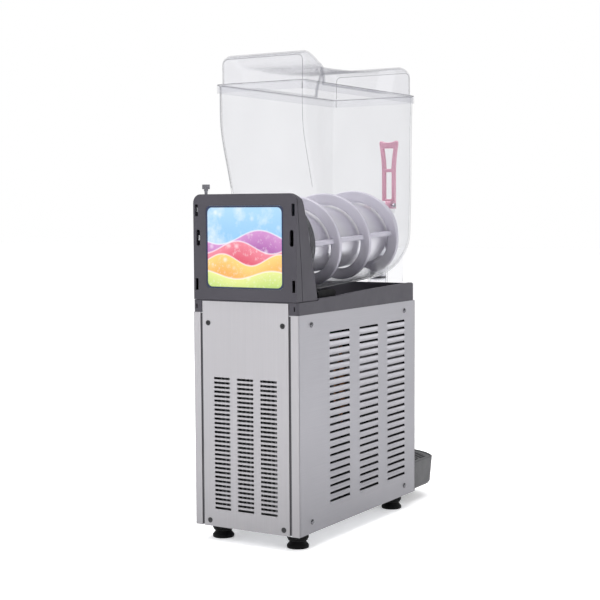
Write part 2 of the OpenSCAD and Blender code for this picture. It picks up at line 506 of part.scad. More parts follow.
// ---------------------------------------------------------------- cooling set
cp_d = 290; cp_r = 74;
module compressor() color([0.08, 0.08, 0.09]) translate([0, Y(cp_d), 0]) {
    rotate_extrude($fn = 64) polygon([[0, 49 + zs], [40, 50 + zs], [60, 55 + zs], [71, 64 + zs], [cp_r, 76 + zs], [cp_r, 128 + zs], [77, 128 + zs], [77, 134 + zs], [cp_r, 134 + zs], [cp_r, 178 + zs], [71, 190 + zs], [62, 200 + zs], [45, 208 + zs], [22, 212 + zs], [0, 213 + zs]]);
    difference() {
        translate([-80, -68, 46 + zs]) cube([160, 136, 3.2]);
        for (x = [-60, 60], y = [-55, 55]) translate([x, y, 40 + zs]) cylinder(h = 14, r = 5);
    }
}
module compressor_grommets() color([0.13, 0.13, 0.14]) for (x = [-60, 60], d = [235, 345])
    translate([x, Y(d), z0 + 1.5]) difference() {
        union() {
            cylinder(h = 14.4 + e, r = 9);
            cylinder(h = 22, r = 4.9);
        }
        translate([0, 0, -1]) cylinder(h = 26, r = 3);
    }
module compressor_cover() color([0.14, 0.14, 0.15]) difference() {
    bx(-30, 30, 196, 214, 96 + zs, 150 + zs);
    translate([0, Y(cp_d), 90 + zs]) cylinder(h = 80, r = 77.6);
}
module condenser_core() color([0.72, 0.73, 0.75]) difference() {
    bx(-80, 80, 14, 54, 56 + zs, 280 + zs);
    for (x = [-76:8:76]) { bx(x - 2.6, x + 2.6, 10, 22, 59 + zs, 277 + zs); bx(x - 2.6, x + 2.6, 46, 60, 59 + zs, 277 + zs); }
}
module condenser_tubes() color([0.72, 0.45, 0.3]) for (s = [-1, 1], z = [78:44:254], d = [24, 44])
    translate([s*80, Y(d), z + zs]) rotate([90, 0, s > 0 ? 0 : 180]) intersection() {
        rotate_extrude($fn = 32) translate([9, 0]) circle(3.6, $fn = 16);
        translate([0, -30, -10]) cube([30, 60, 20]);
    }
fan_z = 166 + zs;
module fan_shroud() color([0.6, 0.6, 0.62]) difference() {
    union() {
        bx(-86, 86, 56, 57.5, 50 + zs, 286 + zs);
        translate([0, Y(57.4), fan_z]) rotate([90, 0, 0]) cylinder(h = 22, r = 80, $fn = 64);
    }
    translate([0, Y(50), fan_z]) rotate([90, 0, 0]) cylinder(h = 40, r = 78, $fn = 64);
}
module fan_motor() color([0.22, 0.22, 0.24]) difference() {
    union() {
        translate([0, Y(96), fan_z]) rotate([90, 0, 0]) cylinder(h = 44, r = 31);
        translate([0, Y(92), fan_z]) rotate([90, 0, 0]) cylinder(h = 5, r = 9);
        // three arms back to the shroud plate
        for (a = [90, 210, 330]) translate([0, Y(0), fan_z]) rotate([0, a, 0]) {
            translate([-7, -104, 28]) cube([14, 3, 57.5]);
            translate([-7, -104, 82.5]) cube([14, 46.5, 3]);
        }
    }
    translate([0, Y(90), fan_z]) rotate([90, 0, 0]) cylinder(h = 14, r = 3.05);
}
module fan_shaft() color([0.72, 0.73, 0.75]) translate([0, Y(70), fan_z]) rotate([90, 0, 0]) cylinder(h = 33, r = 3);
module fan_blade() color([0.7, 0.71, 0.73]) translate([0, Y(66), fan_z]) rotate([90, 0, 0]) difference() {
    union() {
        cylinder(h = 20, r = 18);
        for (a = [0:72:288]) rotate([0, 0, a]) translate([0, 15, 10]) rotate([0, 28, 0]) linear_extrude(1.6, center = true)
            polygon([[-10, 0], [-19, 54], [-8, 58], [12, 58], [20, 50], [10, 0]]);
    }
    translate([0, 0, 4]) cylinder(h = 20, r = 3);
}
module filter_dryer() color([0.72, 0.46, 0.32]) translate([-78, Y(172), 0]) rotate_extrude()
    polygon([[0, 190 + zs], [3, 190 + zs], [3, 204 + zs], [12, 216 + zs], [12, 282 + zs], [3, 294 + zs], [3, 306 + zs], [0, 306 + zs]]);
// insulated suction line from the drum down to the compressor
module suction_pipe() color([0.12, 0.12, 0.13])
    tube_run(round_route([A(20, -42.5, 96), A(20, -42.5, 45), [20, Y(38), 428 + zs], [20, Y(38), 332 + zs], [34, Y(150), 330 + zs], [34, Y(cp_d - 20), 240 + zs], [34, Y(cp_d - 20), 210 + zs]], 14), 3.4);
module liquid_pipe() color([0.74, 0.47, 0.33])
    tube_run(round_route([A(-20, -42.5, 96), A(-20, -42.5, 45), [-20, Y(38), 428 + zs], [-20, Y(38), 350 + zs], [-78, Y(100), 342 + zs], [-78, Y(172), 328 + zs], [-78, Y(172), 306 + zs]], 14), 2.9);
module control_box() color([0.2, 0.2, 0.22]) difference() {
    bx(-70, 70, 260, 380, 306 + zs, cab_z - 1.5);
    bx(-67, 67, 263, 377, 309 + zs, cab_z - 5);
    bx(-30, 30, 255, 270, 320 + zs, 350 + zs);
}
module control_board() color([0.12, 0.38, 0.2]) {
    bx(-62, 62, 268, 372, 312 + zs, 313.6 + zs);
    for (x = [-58, 58], d = [272, 368]) translate([x, Y(d), 309 + zs]) cylinder(h = 3.1, r = 3);
    bx(-50, -22, 280, 300, 313.5 + zs, 331 + zs);
    bx(-10, 12, 280, 300, 313.5 + zs, 329 + zs);
    bx(24, 54, 276, 316, 313.5 + zs, 340 + zs);
    for (k = [0:4]) translate([-44 + 16*k, Y(346), 313.5 + zs]) cylinder(h = 14, r = 5);
}
module switch_plate() color([0.15, 0.15, 0.16]) difference() {
    union() {
        bx(-42, 42, body_d, body_d + 1.6, 334 + zs, 364 + zs);
        bx(-38.8, 38.8, body_d - 12, body_d + e, 337.2 + zs, 360.8 + zs);
    }
    for (s = [-1, 1]) bx(s*19 - 14, s*19 + 14, body_d - 10, body_d + 3, 339 + zs, 359 + zs);
}
module rocker(s) {
    side_prism([[body_d - 3, 341], [body_d + 0.6, 341], [body_d + 1.4, 349], [body_d + 4.4, 357], [body_d - 3, 357], [body_d - 6, 349]] + [for (i = [0:5]) [0, zs]], s*19 - 13.4, s*19 + 13.4);
}
module rocker_power() color([0.1, 0.5, 0.25]) rocker(-1);
module rocker_mode() color([0.1, 0.1, 0.11]) rocker(1);
module cable_gland() color([0.1, 0.1, 0.11]) translate([70, Y(90), 0]) difference() {
    union() {
        translate([0, 0, z0 - 8]) cylinder(h = 8, r = 11, $fn = 6);
        translate([0, 0, z0 - 14]) cylinder(h = 6.1, r1 = 7, r2 = 9.4);
        translate([0, 0, z0 - 0.1]) cylinder(h = 10, r = 7.4);
        translate([0, 0, z0 + 1.5]) cylinder(h = 4, r = 11, $fn = 6);
    }
    translate([0, 0, z0 - 20]) cylinder(h = 50, r = 4);
}

base_pan();
levelling_feet();
frame_posts();
deck_plate();
side_panel_left();
side_panel_right();
rear_panel();
front_panel();
rear_screws();
side_screws();
deck_collar();
bowl_rests();
tower_shell();
tower_rear_cover();
picture_lens();
led_board();
density_screw();
density_nut();
density_spring();
torque_arm();
gearbox();
gear_motor();
seal_flange();
bowl_gasket();
evaporator_drum();
evaporator_coil();
shaft_bushes();
shaft_seal();
drive_shaft();
auger();
auger_nose();
bowl();
bowl_lid();
tap_piston();
tap_rings();
tap_spring();
tap_cap();
tap_lever();
tap_pivot_pin();
drip_tray();
drip_grille();
tray_bracket();
compressor();
compressor_grommets();
compressor_cover();
condenser_core();
condenser_tubes();
fan_shroud();
fan_motor();
fan_shaft();
fan_blade();
filter_dryer();
suction_pipe();
liquid_pipe();
control_box();
control_board();
rocker_power();
rocker_mode();
switch_plate();
cable_gland();
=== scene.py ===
import bpy, bmesh, math, json
import numpy as np
from mathutils import Vector, Matrix, noise


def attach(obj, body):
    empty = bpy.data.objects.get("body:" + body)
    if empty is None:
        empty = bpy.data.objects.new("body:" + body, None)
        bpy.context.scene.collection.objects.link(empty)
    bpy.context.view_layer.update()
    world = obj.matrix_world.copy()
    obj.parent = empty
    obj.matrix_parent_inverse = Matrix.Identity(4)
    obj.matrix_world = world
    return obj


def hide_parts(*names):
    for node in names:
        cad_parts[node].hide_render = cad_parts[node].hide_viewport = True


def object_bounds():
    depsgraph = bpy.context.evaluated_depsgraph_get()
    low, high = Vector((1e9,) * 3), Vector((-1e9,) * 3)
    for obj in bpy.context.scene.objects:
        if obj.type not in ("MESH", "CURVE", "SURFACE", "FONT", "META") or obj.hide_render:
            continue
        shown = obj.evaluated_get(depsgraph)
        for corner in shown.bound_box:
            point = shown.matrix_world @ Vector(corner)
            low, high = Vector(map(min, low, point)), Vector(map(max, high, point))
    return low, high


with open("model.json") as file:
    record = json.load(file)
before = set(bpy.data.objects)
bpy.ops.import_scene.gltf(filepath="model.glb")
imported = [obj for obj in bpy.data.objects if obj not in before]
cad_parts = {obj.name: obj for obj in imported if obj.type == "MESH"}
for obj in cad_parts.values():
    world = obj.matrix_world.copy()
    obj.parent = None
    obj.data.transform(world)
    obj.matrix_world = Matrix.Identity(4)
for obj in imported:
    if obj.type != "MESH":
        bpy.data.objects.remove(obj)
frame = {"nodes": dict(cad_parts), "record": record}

NODES = frame["nodes"]
BODY_OF = {n: b for b, ns in frame["record"]["behaviour"]["bodies"].items() for n in ns}
SLOT_OF = {s["node"]: s["material_slot"] for s in frame["record"]["subparts"]}
_lo, _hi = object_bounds()
CAD_BOX = [list(map(float, _lo)), list(map(float, _hi))]
SC = bpy.context.scene
COL = SC.collection

# ------------------------------------------------------------------ geometry helpers (millimetres in, metres out)
Y_REAR = CAD_BOX[1][1] * 1000 - 1.5
ZS = -4.0    # the upper works stand on 26 mm feet; heights below are for 30 mm ones
TILT = math.radians(2.7)
CT, ST = math.cos(TILT), math.sin(TILT)


def yd(d):
    return Y_REAR - d


def P(x, d, z):
    return (x / 1000.0, (Y_REAR - d) / 1000.0, (z + ZS) / 1000.0)


def A(x, y, s):
    return (x / 1000.0, (yd(300) - (s - 300) * CT + y * ST) / 1000.0, (498.2 + ZS + (s - 300) * ST + y * CT) / 1000.0)


def zax(d):
    return 498.2 + (d - 300) * math.tan(TILT)


def smooth(t):
    t = min(1.0, max(0.0, t))
    return t * t * (3 - 2 * t)


def mesh_obj(name, verts, faces, mats, body, weld=1e-5, flat=False, out_from=None, sharp=None):
    """A mesh from points in metres; welded, no empty faces, smooth with sharp edges kept by angle."""
    me = bpy.data.meshes.new(name)
    clean = []
    for f in faces:
        g = []
        for v in f:
            if v not in g:
                g.append(v)
        if len(g) > 2:
            clean.append(g)
    me.from_pydata([tuple(v) for v in verts], [], clean)
    bm = bmesh.new()
    bm.from_mesh(me)
    bmesh.ops.remove_doubles(bm, verts=bm.verts, dist=weld)
    bad = [f for f in bm.faces if f.calc_area() < 1e-12]
    if bad:
        bmesh.ops.delete(bm, geom=bad, context="FACES")
    loose = [v for v in bm.verts if not v.link_faces]
    if loose:
        bmesh.ops.delete(bm, geom=loose, context="VERTS")
    bmesh.ops.recalc_face_normals(bm, faces=bm.faces)
    if out_from is not None:
        c = Vector(out_from)
        s = sum(f.normal.dot(f.calc_center_median() - c) * f.calc_area() for f in bm.faces)
        if s < 0:
            bmesh.ops.reverse_faces(bm, faces=bm.faces)
    if sharp is not None:
        for e in bm.edges:
            if len(e.link_faces) == 2 and e.calc_face_angle(0) > math.radians(sharp):
                e.smooth = False
    for f in bm.faces:
        f.smooth = not flat
    bm.to_mesh(me)
    bm.free()
    ob = bpy.data.objects.new(name, me)
    COL.objects.link(ob)
    for m in (mats if isinstance(mats, (list, tuple)) else [mats]):
        me.materials.append(m)
    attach(ob, body)
    return ob


def mod_apply(ob):
    """Applies the modifiers, so that the piece's mesh is final."""
    dg = bpy.context.evaluated_depsgraph_get()
    ev = ob.evaluated_get(dg)
    me = bpy.data.meshes.new_from_object(ev)
    ob.modifiers.clear()
    ob.data = me
    return ob


def add_bevel(ob, w, seg=3, ang=32):
    m = ob.modifiers.new("edge", "BEVEL")
    m.width = w / 1000.0
    m.segments = seg
    m.limit_method = "ANGLE"
    m.angle_limit = math.radians(ang)
    m.use_clamp_overlap = True
    m.harden_normals = False
    return m


def add_wn(ob):
    m = ob.modifiers.new("wn", "WEIGHTED_NORMAL")
    m.keep_sharp = True
    m.weight = 60
    return m


def soften(node, w, mat, seg=3, ang=32, name=None, warp=None):
    """Stands for a CAD node: the same shape with its edges rounded, as moulded or folded edges are."""
    src = NODES[node]
    bm = bmesh.new()
    bm.from_mesh(src.data)
    bmesh.ops.remove_doubles(bm, verts=bm.verts, dist=2e-6)
    bmesh.ops.dissolve_limit(bm, angle_limit=math.radians(0.6), verts=bm.verts, edges=bm.edges)
    if warp:
        for v in bm.verts:
            v.co = Vector(warp(v.co))
    for f in bm.faces:
        f.smooth = True
        f.material_index = 0
    for e in bm.edges:
        e.smooth = not (len(e.link_faces) == 2 and e.calc_face_angle(0) > math.radians(ang))
    me = bpy.data.meshes.new((name or node) + "_shape")
    bm.to_mesh(me)
    bm.free()
    ob = bpy.data.objects.new(name or (node + "_looks"), me)
    COL.objects.link(ob)
    me.materials.append(mat)
    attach(ob, BODY_OF[node])
    add_bevel(ob, w, seg, ang)
    add_wn(ob)
    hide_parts(node)
    return ob


def rrect_pts(x1, x2, y1, y2, r, n=8):
    pts = []
    for cx, cy, a0 in ((x2 - r, y1 + r, -90), (x2 - r, y2 - r, 0), (x1 + r, y2 - r, 90), (x1 + r, y1 + r, 180)):
        for k in range(n + 1):
            a = math.radians(a0 + 90 * k / n)
            pts.append((cx + r * math.cos(a), cy + r * math.sin(a)))
    return pts


def plate(name, outline, holes, depth, bevel, to_point, mat, body, seg=2):
    """A flat plate with holes and rounded edges. outline and holes are 2-D points in mm; to_point(u, v, w) places them, w from 0 to depth."""
    cu = bpy.data.curves.new(name + "_c", "CURVE")
    cu.dimensions = "2D"
    cu.fill_mode = "BOTH"
    for ring in [outline] + list(holes):
        sp = cu.splines.new("POLY")
        sp.points.add(len(ring) - 1)
        for p, q in zip(sp.points, ring):
            p.co = (q[0], q[1], 0, 1)
        sp.use_cyclic_u = True
    cu.extrude = depth / 2 - bevel
    cu.bevel_depth = bevel
    cu.bevel_resolution = seg
    cu.offset = -bevel
    tmp = bpy.data.objects.new(name + "_c", cu)
    COL.objects.link(tmp)
    bpy.context.view_layer.update()
    me = bpy.data.meshes.new_from_object(tmp.evaluated_get(bpy.context.evaluated_depsgraph_get()))
    bpy.data.objects.remove(tmp)
    bm = bmesh.new()
    bm.from_mesh(me)
    bmesh.ops.remove_doubles(bm, verts=bm.verts, dist=0.004)
    for v in bm.verts:
        v.co = Vector(to_point(v.co.x, v.co.y, v.co.z + depth / 2))
    bmesh.ops.recalc_face_normals(bm, faces=bm.faces)
    for f in bm.faces:
        f.smooth = True
    bm.to_mesh(me)
    bm.free()
    me.name = name
    me.materials.clear()
    me.materials.append(mat)
    ob = bpy.data.objects.new(name, me)
    COL.objects.link(ob)
    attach(ob, body)
    add_wn(ob)
    return ob


def box_obj(name, x1, x2, d1, d2, z1, z2, bevel, mat, body, seg=2):
    vs = [P(x, d, z) for x in (x1, x2) for d in (d1, d2) for z in (z1, z2)]
    fs = [(0, 1, 3, 2), (4, 6, 7, 5), (0, 4, 5, 1), (2, 3, 7, 6), (0, 2, 6, 4), (1, 5, 7, 3)]
    ob = mesh_obj(name, vs, fs, mat, body)
    add_bevel(ob, bevel, seg, 30)
    add_wn(ob)
    return ob


def lathe(name, prof, place, mat, body, n=64, close=True):
    """prof: (r, h) points; place(x, y, h) puts them."""
    vs, fs = [], []
    m = len(prof)
    for k in range(n):
        a = 2 * math.pi * k / n
        for r, h in prof:
            vs.append(place(r * math.cos(a), r * math.sin(a), h))
    for k in range(n):
        for i in range(m if close else m - 1):
            a, b = k * m + i, k * m + (i + 1) % m
            c, e = ((k + 1) % n) * m + (i + 1) % m, ((k + 1) % n) * m + i
            fs.append((a, b, c, e))
    return mesh_obj(name, vs, fs, mat, body, sharp=40)


# ------------------------------------------------------------------ materials
class M:
    def __init__(self, name):
        self.m = bpy.data.materials.new(name)
        self.m.use_nodes = True
        self.nt = self.m.node_tree
        self.nt.nodes.clear()
        self.out = self.n("ShaderNodeOutputMaterial")
        self.co = self.n("ShaderNodeTexCoord").outputs["Object"]

    def n(self, t, **kw):
        x = self.nt.nodes.new(t)
        for k, v in kw.items():
            setattr(x, k, v)
        return x

    def link(self, a, b):
        self.nt.links.new(a, b)

    def scaled(self, s):
        mp = self.n("ShaderNodeMapping")
        self.link(self.co, mp.inputs["Vector"])
        mp.inputs["Scale"].default_value = s
        return mp.outputs["Vector"]

    def noise(self, scale, detail=3, rough=0.55, vec=None, out="Fac"):
        x = self.n("ShaderNodeTexNoise")
        x.inputs["Scale"].default_value = scale
        x.inputs["Detail"].default_value = detail
        x.inputs["Roughness"].default_value = rough
        self.link(vec if vec is not None else self.co, x.inputs["Vector"])
        return x.outputs[out]

    def rng(self, v, a, b, c, d, smooth_step=False):
        x = self.n("ShaderNodeMapRange")
        if smooth_step:
            x.interpolation_type = "SMOOTHSTEP"
        for k, q in zip(("From Min", "From Max", "To Min", "To Max"), (a, b, c, d)):
            x.inputs[k].default_value = q
        self.link(v, x.inputs["Value"])
        return x.outputs["Result"]

    def math(self, op, a, b=None):
        x = self.n("ShaderNodeMath", operation=op)
        for i, v in enumerate((a, b)):
            if v is None:
                continue
            if isinstance(v, (int, float)):
                x.inputs[i].default_value = v
            else:
                self.link(v, x.inputs[i])
        return x.outputs[0]

    def mix(self, f, a, b):
        x = self.n("ShaderNodeMix", data_type="RGBA")
        if isinstance(f, (int, float)):
            x.inputs[0].default_value = f
        else:
            self.link(f, x.inputs[0])
        for i, v in ((6, a), (7, b)):
            if isinstance(v, (tuple, list)):
                x.inputs[i].default_value = (*v[:3], 1)
            else:
                self.link(v, x.inputs[i])
        return x.outputs[2]

    def bump(self, h, strength, dist, normal=None):
        x = self.n("ShaderNodeBump")
        x.inputs["Strength"].default_value = strength
        x.inputs["Distance"].default_value = dist
        self.link(h, x.inputs["Height"])
        if normal is not None:
            self.link(normal, x.inputs["Normal"])
        return x.outputs["Normal"]

    def bsdf(self, **kw):
        b = self.n("ShaderNodeBsdfPrincipled")
        for k, v in kw.items():
            b.inputs[k].default_value = v
        return b

    def done(self, shader):
        self.link(shader, self.out.inputs["Surface"])
        return self.m


def surf(name, col, rough, metallic=0.0, var=0.06, vscale=9.0, rvar=0.05, grain=900.0, gbump=0.05, gdist=0.0002,
         coat=0.0, spec=0.5, streak=None, dirt=0.0, col2=None, low=None):
    """General material: colour varies softly, roughness varies, fine relief; streak = (sx, sy, sz) stretches the relief into brushing."""
    q = M(name)
    b = q.bsdf(Metallic=metallic)
    b.inputs["Coat Weight"].default_value = coat
    b.inputs["Coat Roughness"].default_value = 0.08
    b.inputs["Specular IOR Level"].default_value = spec
    n1 = q.noise(vscale, 4)
    lo = tuple(c * (1 - var) for c in col)
    hi = tuple(min(1, c * (1 + var)) for c in (col2 or col))
    c1 = q.mix(q.rng(n1, 0.3, 0.7, 0, 1), lo, hi)
    if streak:
        sv = q.scaled(streak)
        n2 = q.noise(1.0, 5, 0.65, vec=sv)
        c1 = q.mix(q.rng(n2, 0.25, 0.75, 0.0, 1.0), tuple(c * 0.93 for c in lo), c1) if metallic > 0.5 else c1
        h = n2
    else:
        h = q.noise(grain, 2, 0.5)
    if dirt:
        n3 = q.noise(38, 5, 0.7)
        c1 = q.mix(q.rng(n3, 0.58, 0.8, 0.0, dirt), c1, tuple(c * 0.55 for c in col))
    if low is not None:
        # painted shade: sheets are darkened towards the base, standing in for the shade near the floor
        sp = q.n("ShaderNodeSeparateXYZ")
        q.link(q.co, sp.inputs[0])
        c1 = q.mix(q.rng(sp.outputs["Z"], 0.02, 0.37, low, 1.0), (0.0, 0.0, 0.0), c1)
    q.link(c1, b.inputs["Base Color"])
    q.link(q.rng(q.noise(vscale * 3.3, 4), 0.25, 0.75, max(0.02, rough - rvar), rough + rvar), b.inputs["Roughness"])
    q.link(q.bump(h, gbump, gdist), b.inputs["Normal"])
    return q.done(b.outputs[0])


# low= paints shade towards the base of both steel sheets
STEEL = surf("brushed_steel", (0.49, 0.48, 0.50), 0.40, 1.0, low=0.58, var=0.02, vscale=2.5, rvar=0.04, gbump=0.05, gdist=0.00006, streak=(900, 900, 6))
# shaded copy of the brushed steel for the side panels: its darker base colour is painted shade; the vertical brushing
# is the sheet's own
STEEL_SIDE_SHADED = surf("brushed_steel_side_shaded", (0.43, 0.425, 0.455), 0.42, 1.0, low=0.56, var=0.02, vscale=2.5, rvar=0.04, gbump=0.05, gdist=0.00006, streak=(900, 8, 900))
ZINC = surf("zinc_sheet", (0.52, 0.53, 0.55), 0.45, 0.9, var=0.16, vscale=60, rvar=0.1, grain=300)
# near-black painted shade for faces that stand in the cabinet's shade
INSIDE_PAINTED_SHADE = surf("inside_painted_shade", (0.010, 0.010, 0.011), 0.7, 0.0, var=0.15, rvar=0.08, spec=0.1)
DARK_SHEET = surf("dark_sheet", (0.055, 0.053, 0.06), 0.5, 0.3, var=0.15, rvar=0.08)
HOUSING = surf("housing_plastic", (0.050, 0.047, 0.058), 0.48, 0.0, var=0.08, vscale=14, rvar=0.06, grain=1500, gbump=0.22, gdist=0.00012, spec=0.32)
BLACK = surf("black_plastic", (0.003, 0.003, 0.0035), 0.5, 0.0, var=0.2, vscale=30, rvar=0.08, grain=1200, gbump=0.2, gdist=0.0001, spec=0.10)
TRAY = surf("tray_plastic", (0.024, 0.024, 0.028), 0.45, 0.0, var=0.1, vscale=20, rvar=0.06, grain=1300, gbump=0.2, gdist=0.0001)
RUBBER = surf("rubber", (0.07, 0.07, 0.074), 0.7, 0.0, var=0.2, vscale=40, rvar=0.08, grain=700, gbump=0.25, gdist=0.0002)
WHITE = surf("white_plastic", (0.80, 0.80, 0.82), 0.35, 0.0, var=0.03, vscale=16, rvar=0.06, grain=800, gbump=0.06)
AUGER = surf("auger_plastic", (0.52, 0.50, 0.56), 0.38, 0.0, var=0.05, vscale=18, rvar=0.07, grain=700, gbump=0.10, gdist=0.0001)
RED = surf("red_plastic", (0.62, 0.33, 0.41), 0.3, 0.0, var=0.06, vscale=30, rvar=0.05, grain=900, gbump=0.05)
DRUM = surf("polished_steel", (0.86, 0.85, 0.88), 0.34, 1.0, var=0.03, vscale=12, rvar=0.05, gbump=0.05, gdist=0.00003, streak=(1500, 40, 1500))
SHAFT = surf("bright_steel", (0.60, 0.61, 0.63), 0.25, 1.0, var=0.05, vscale=80, rvar=0.07, gbump=0.06, gdist=0.00004, streak=(900, 900, 60))
KNOB = surf("knurled_steel", (0.22, 0.22, 0.24), 0.3, 1.0, var=0.12, vscale=120, rvar=0.08, grain=1500, gbump=0.12)
SCREW_B = surf("bright_screw", (0.13, 0.13, 0.14), 0.14, 1.0, var=0.08, vscale=150, rvar=0.07, grain=1500, gbump=0.08)
SCREW_K = surf("black_screw", (0.02, 0.02, 0.022), 0.35, 0.4, var=0.2, vscale=150, rvar=0.08, grain=1500, gbump=0.1)
CAST = surf("cast_aluminium", (0.42, 0.43, 0.45), 0.5, 0.9, var=0.1, vscale=50, rvar=0.1, grain=500, gbump=0.4, gdist=0.0003)
# the aluminium base is darkened as painted shade, so the condenser behind the vents reads dark
FIN_SHADED = surf("fin_sheet_shaded", (0.16, 0.165, 0.17), 0.45, 0.8, var=0.15, vscale=40, rvar=0.1, grain=600)
MOTOR = surf("motor_paint", (0.05, 0.055, 0.065), 0.4, 0.2, var=0.1, vscale=30, rvar=0.08, grain=500, gbump=0.15)
COMP = surf("compressor_paint", (0.012, 0.012, 0.013), 0.28, 0.1, var=0.2, vscale=30, rvar=0.08, grain=300, gbump=0.15, gdist=0.0003)
COPPER = surf("copper_tube", (0.55, 0.26, 0.14), 0.3, 1.0, var=0.14, vscale=60, rvar=0.1, grain=500)
BRONZE = surf("bronze", (0.52, 0.36, 0.14), 0.4, 1.0, var=0.1, vscale=80, rvar=0.1, grain=900, gbump=0.2)
GREEN = surf("green_plastic", (0.02, 0.26, 0.08), 0.3, 0.0, var=0.06, vscale=40, rvar=0.05)
BOARD_W = surf("white_board", (0.75, 0.76, 0.72), 0.4, 0.0, var=0.05, vscale=60, rvar=0.06)
BOARD_G = surf("green_board", (0.02, 0.13, 0.05), 0.4, 0.0, var=0.25, vscale=160, rvar=0.1)


def clear_material(name, tint, edge, base, power, glint_rough=0.04):
    """Clear moulded plastic: mostly straight through, greyer and glossier where the wall is seen edge on."""
    q = M(name)
    lw = q.n("ShaderNodeLayerWeight")
    lw.inputs["Blend"].default_value = 0.5
    f = q.math("POWER", lw.outputs["Facing"], power)
    f = q.math("MULTIPLY_ADD", f, edge)
    f.node.inputs[2].default_value = base
    # faint flow marks from moulding
    n1 = q.noise(7, 3)
    f = q.math("ADD", f, q.rng(n1, 0.3, 0.7, -0.008, 0.012))
    f = q.math("MAXIMUM", f, 0.0)
    tr = q.n("ShaderNodeBsdfTransparent")
    tr.inputs["Color"].default_value = (*tint, 1)
    b = q.bsdf(Roughness=glint_rough)
    b.inputs["Base Color"].default_value = (0.09, 0.09, 0.11, 1)
    b.inputs["Specular IOR Level"].default_value = 0.8
    q.link(q.rng(q.noise(40, 3), 0.3, 0.7, glint_rough, glint_rough + 0.06), b.inputs["Roughness"])
    mx = q.n("ShaderNodeMixShader")
    q.link(f, mx.inputs[0])
    q.link(tr.outputs[0], mx.inputs[1])
    q.link(b.outputs[0], mx.inputs[2])
    return q.done(mx.outputs[0])


CLEAR = clear_material("clear_plastic", (0.986, 0.987, 0.993), 0.9, 0.018, 4.6)
CLEAR_LID = clear_material("clear_lid_plastic", (0.980, 0.980, 0.988), 0.6, 0.020, 4.6)


# half-grey clear plastic for the painted dark lines along clear edges
CLEAR_EDGE_SHADE = clear_material("clear_edge_painted_shade", (0.93, 0.93, 0.95), 0.30, 0.48, 2.0)


def picture_material():
    """A backlit panel with an abstract picture of its own: soft sky, coloured waves and round bubbles."""
    q = M("backlit_picture")
    sep = q.n("ShaderNodeSeparateXYZ")
    q.link(q.co, sep.inputs[0])
    x = q.math("MULTIPLY", sep.outputs["X"], -1.0 / 0.0735)
    z = q.rng(sep.outputs["Z"], 0.416, 0.5485, 0.0, 1.0)
    cl = q.noise(26, 5, 0.6)
    sky = q.mix(q.rng(z, 0.2, 1.0, 0, 1), (0.16, 0.45, 0.80), (0.42, 0.68, 0.90))
    sky = q.mix(q.rng(cl, 0.46, 0.68, 0.0, 0.75), sky, (0.80, 0.88, 0.96))
    col = sky
    for k, (base, amp, freq, ph, lo, hi) in enumerate([
            (0.62, 0.085, 3.0, 0.4, (0.42, 0.13, 0.42), (0.66, 0.30, 0.62)),
            (0.50, 0.075, 3.6, 2.2, (0.72, 0.10, 0.16), (0.86, 0.26, 0.34)),
            (0.35, 0.070, 4.2, 4.0, (0.90, 0.42, 0.10), (0.95, 0.66, 0.20)),
            (0.17, 0.050, 3.4, 5.4, (0.45, 0.66, 0.16), (0.80, 0.84, 0.30))]):
        w = q.math("SINE", q.math("ADD", q.math("MULTIPLY", x, freq), ph))
        line = q.math("ADD", q.math("MULTIPLY", w, amp), base)
        below = q.math("SUBTRACT", line, z)
        body = q.mix(q.rng(below, 0.0, 0.22, 0, 1), hi, lo)
        ic = q.noise(150 + 30 * k, 4, 0.7)
        body = q.mix(q.rng(ic, 0.55, 0.75, 0.0, 0.45), body, (0.95, 0.92, 0.94))
        col = q.mix(q.rng(below, -0.004, 0.006, 0, 1, True), col, body)
        rim = q.math("SUBTRACT", 1.0, q.math("MULTIPLY", q.math("ABSOLUTE", below), 70.0))
        col = q.mix(q.math("MULTIPLY", q.math("MAXIMUM", rim, 0.0), 0.65), col, (0.96, 0.93, 0.97))
    vo = q.n("ShaderNodeTexVoronoi")
    vo.inputs["Scale"].default_value = 42
    q.link(q.co, vo.inputs["Vector"])
    ring = q.rng(vo.outputs["Distance"], 0.0, 0.26, 0.5, 0.0, True)
    col = q.mix(ring, col, (0.97, 0.98, 1.0))
    b = q.bsdf(Roughness=0.2)
    q.link(q.mix(0.55, col, (0.02, 0.02, 0.02)), b.inputs["Base Color"])
    q.link(q.rng(q.noise(30, 3), 0.3, 0.7, 0.14, 0.26), b.inputs["Roughness"])
    q.link(col, b.inputs["Emission Color"])
    b.inputs["Emission Strength"].default_value = 0.46
    return q.done(b.outputs[0])


PICTURE = picture_material()
NAVY = surf("picture_rim", (0.012, 0.02, 0.06), 0.35, 0.0, var=0.15, vscale=60, rvar=0.08)

BY_SLOT = {
    "cabinet_steel": STEEL, "galvanised_sheet": ZINC, "dark_sheet": DARK_SHEET, "black_screws": SCREW_K,
    "bright_screws": SCREW_B, "bright_steel": SHAFT, "polished_steel": DRUM, "cast_aluminium": CAST,
    "aluminium": FIN_SHADED, "motor_paint": MOTOR, "compressor_paint": COMP, "copper": COPPER, "bronze": BRONZE,
    "rubber": RUBBER, "housing_plastic": HOUSING, "black_plastic": BLACK, "tray_plastic": TRAY,
    "white_plastic": WHITE, "auger_plastic": AUGER, "clear_plastic": CLEAR, "red_plastic": RED,
    "green_plastic": GREEN, "picture_plastic": PICTURE, "white_board": BOARD_W, "green_board": BOARD_G}
for n, o in NODES.items():
    m = BY_SLOT[SLOT_OF[n]]
    if not o.material_slots:
        o.data.materials.append(m)
    for s in o.material_slots:
        s.material = m
for s in NODES["density_screw"].material_slots:
    s.material = KNOB

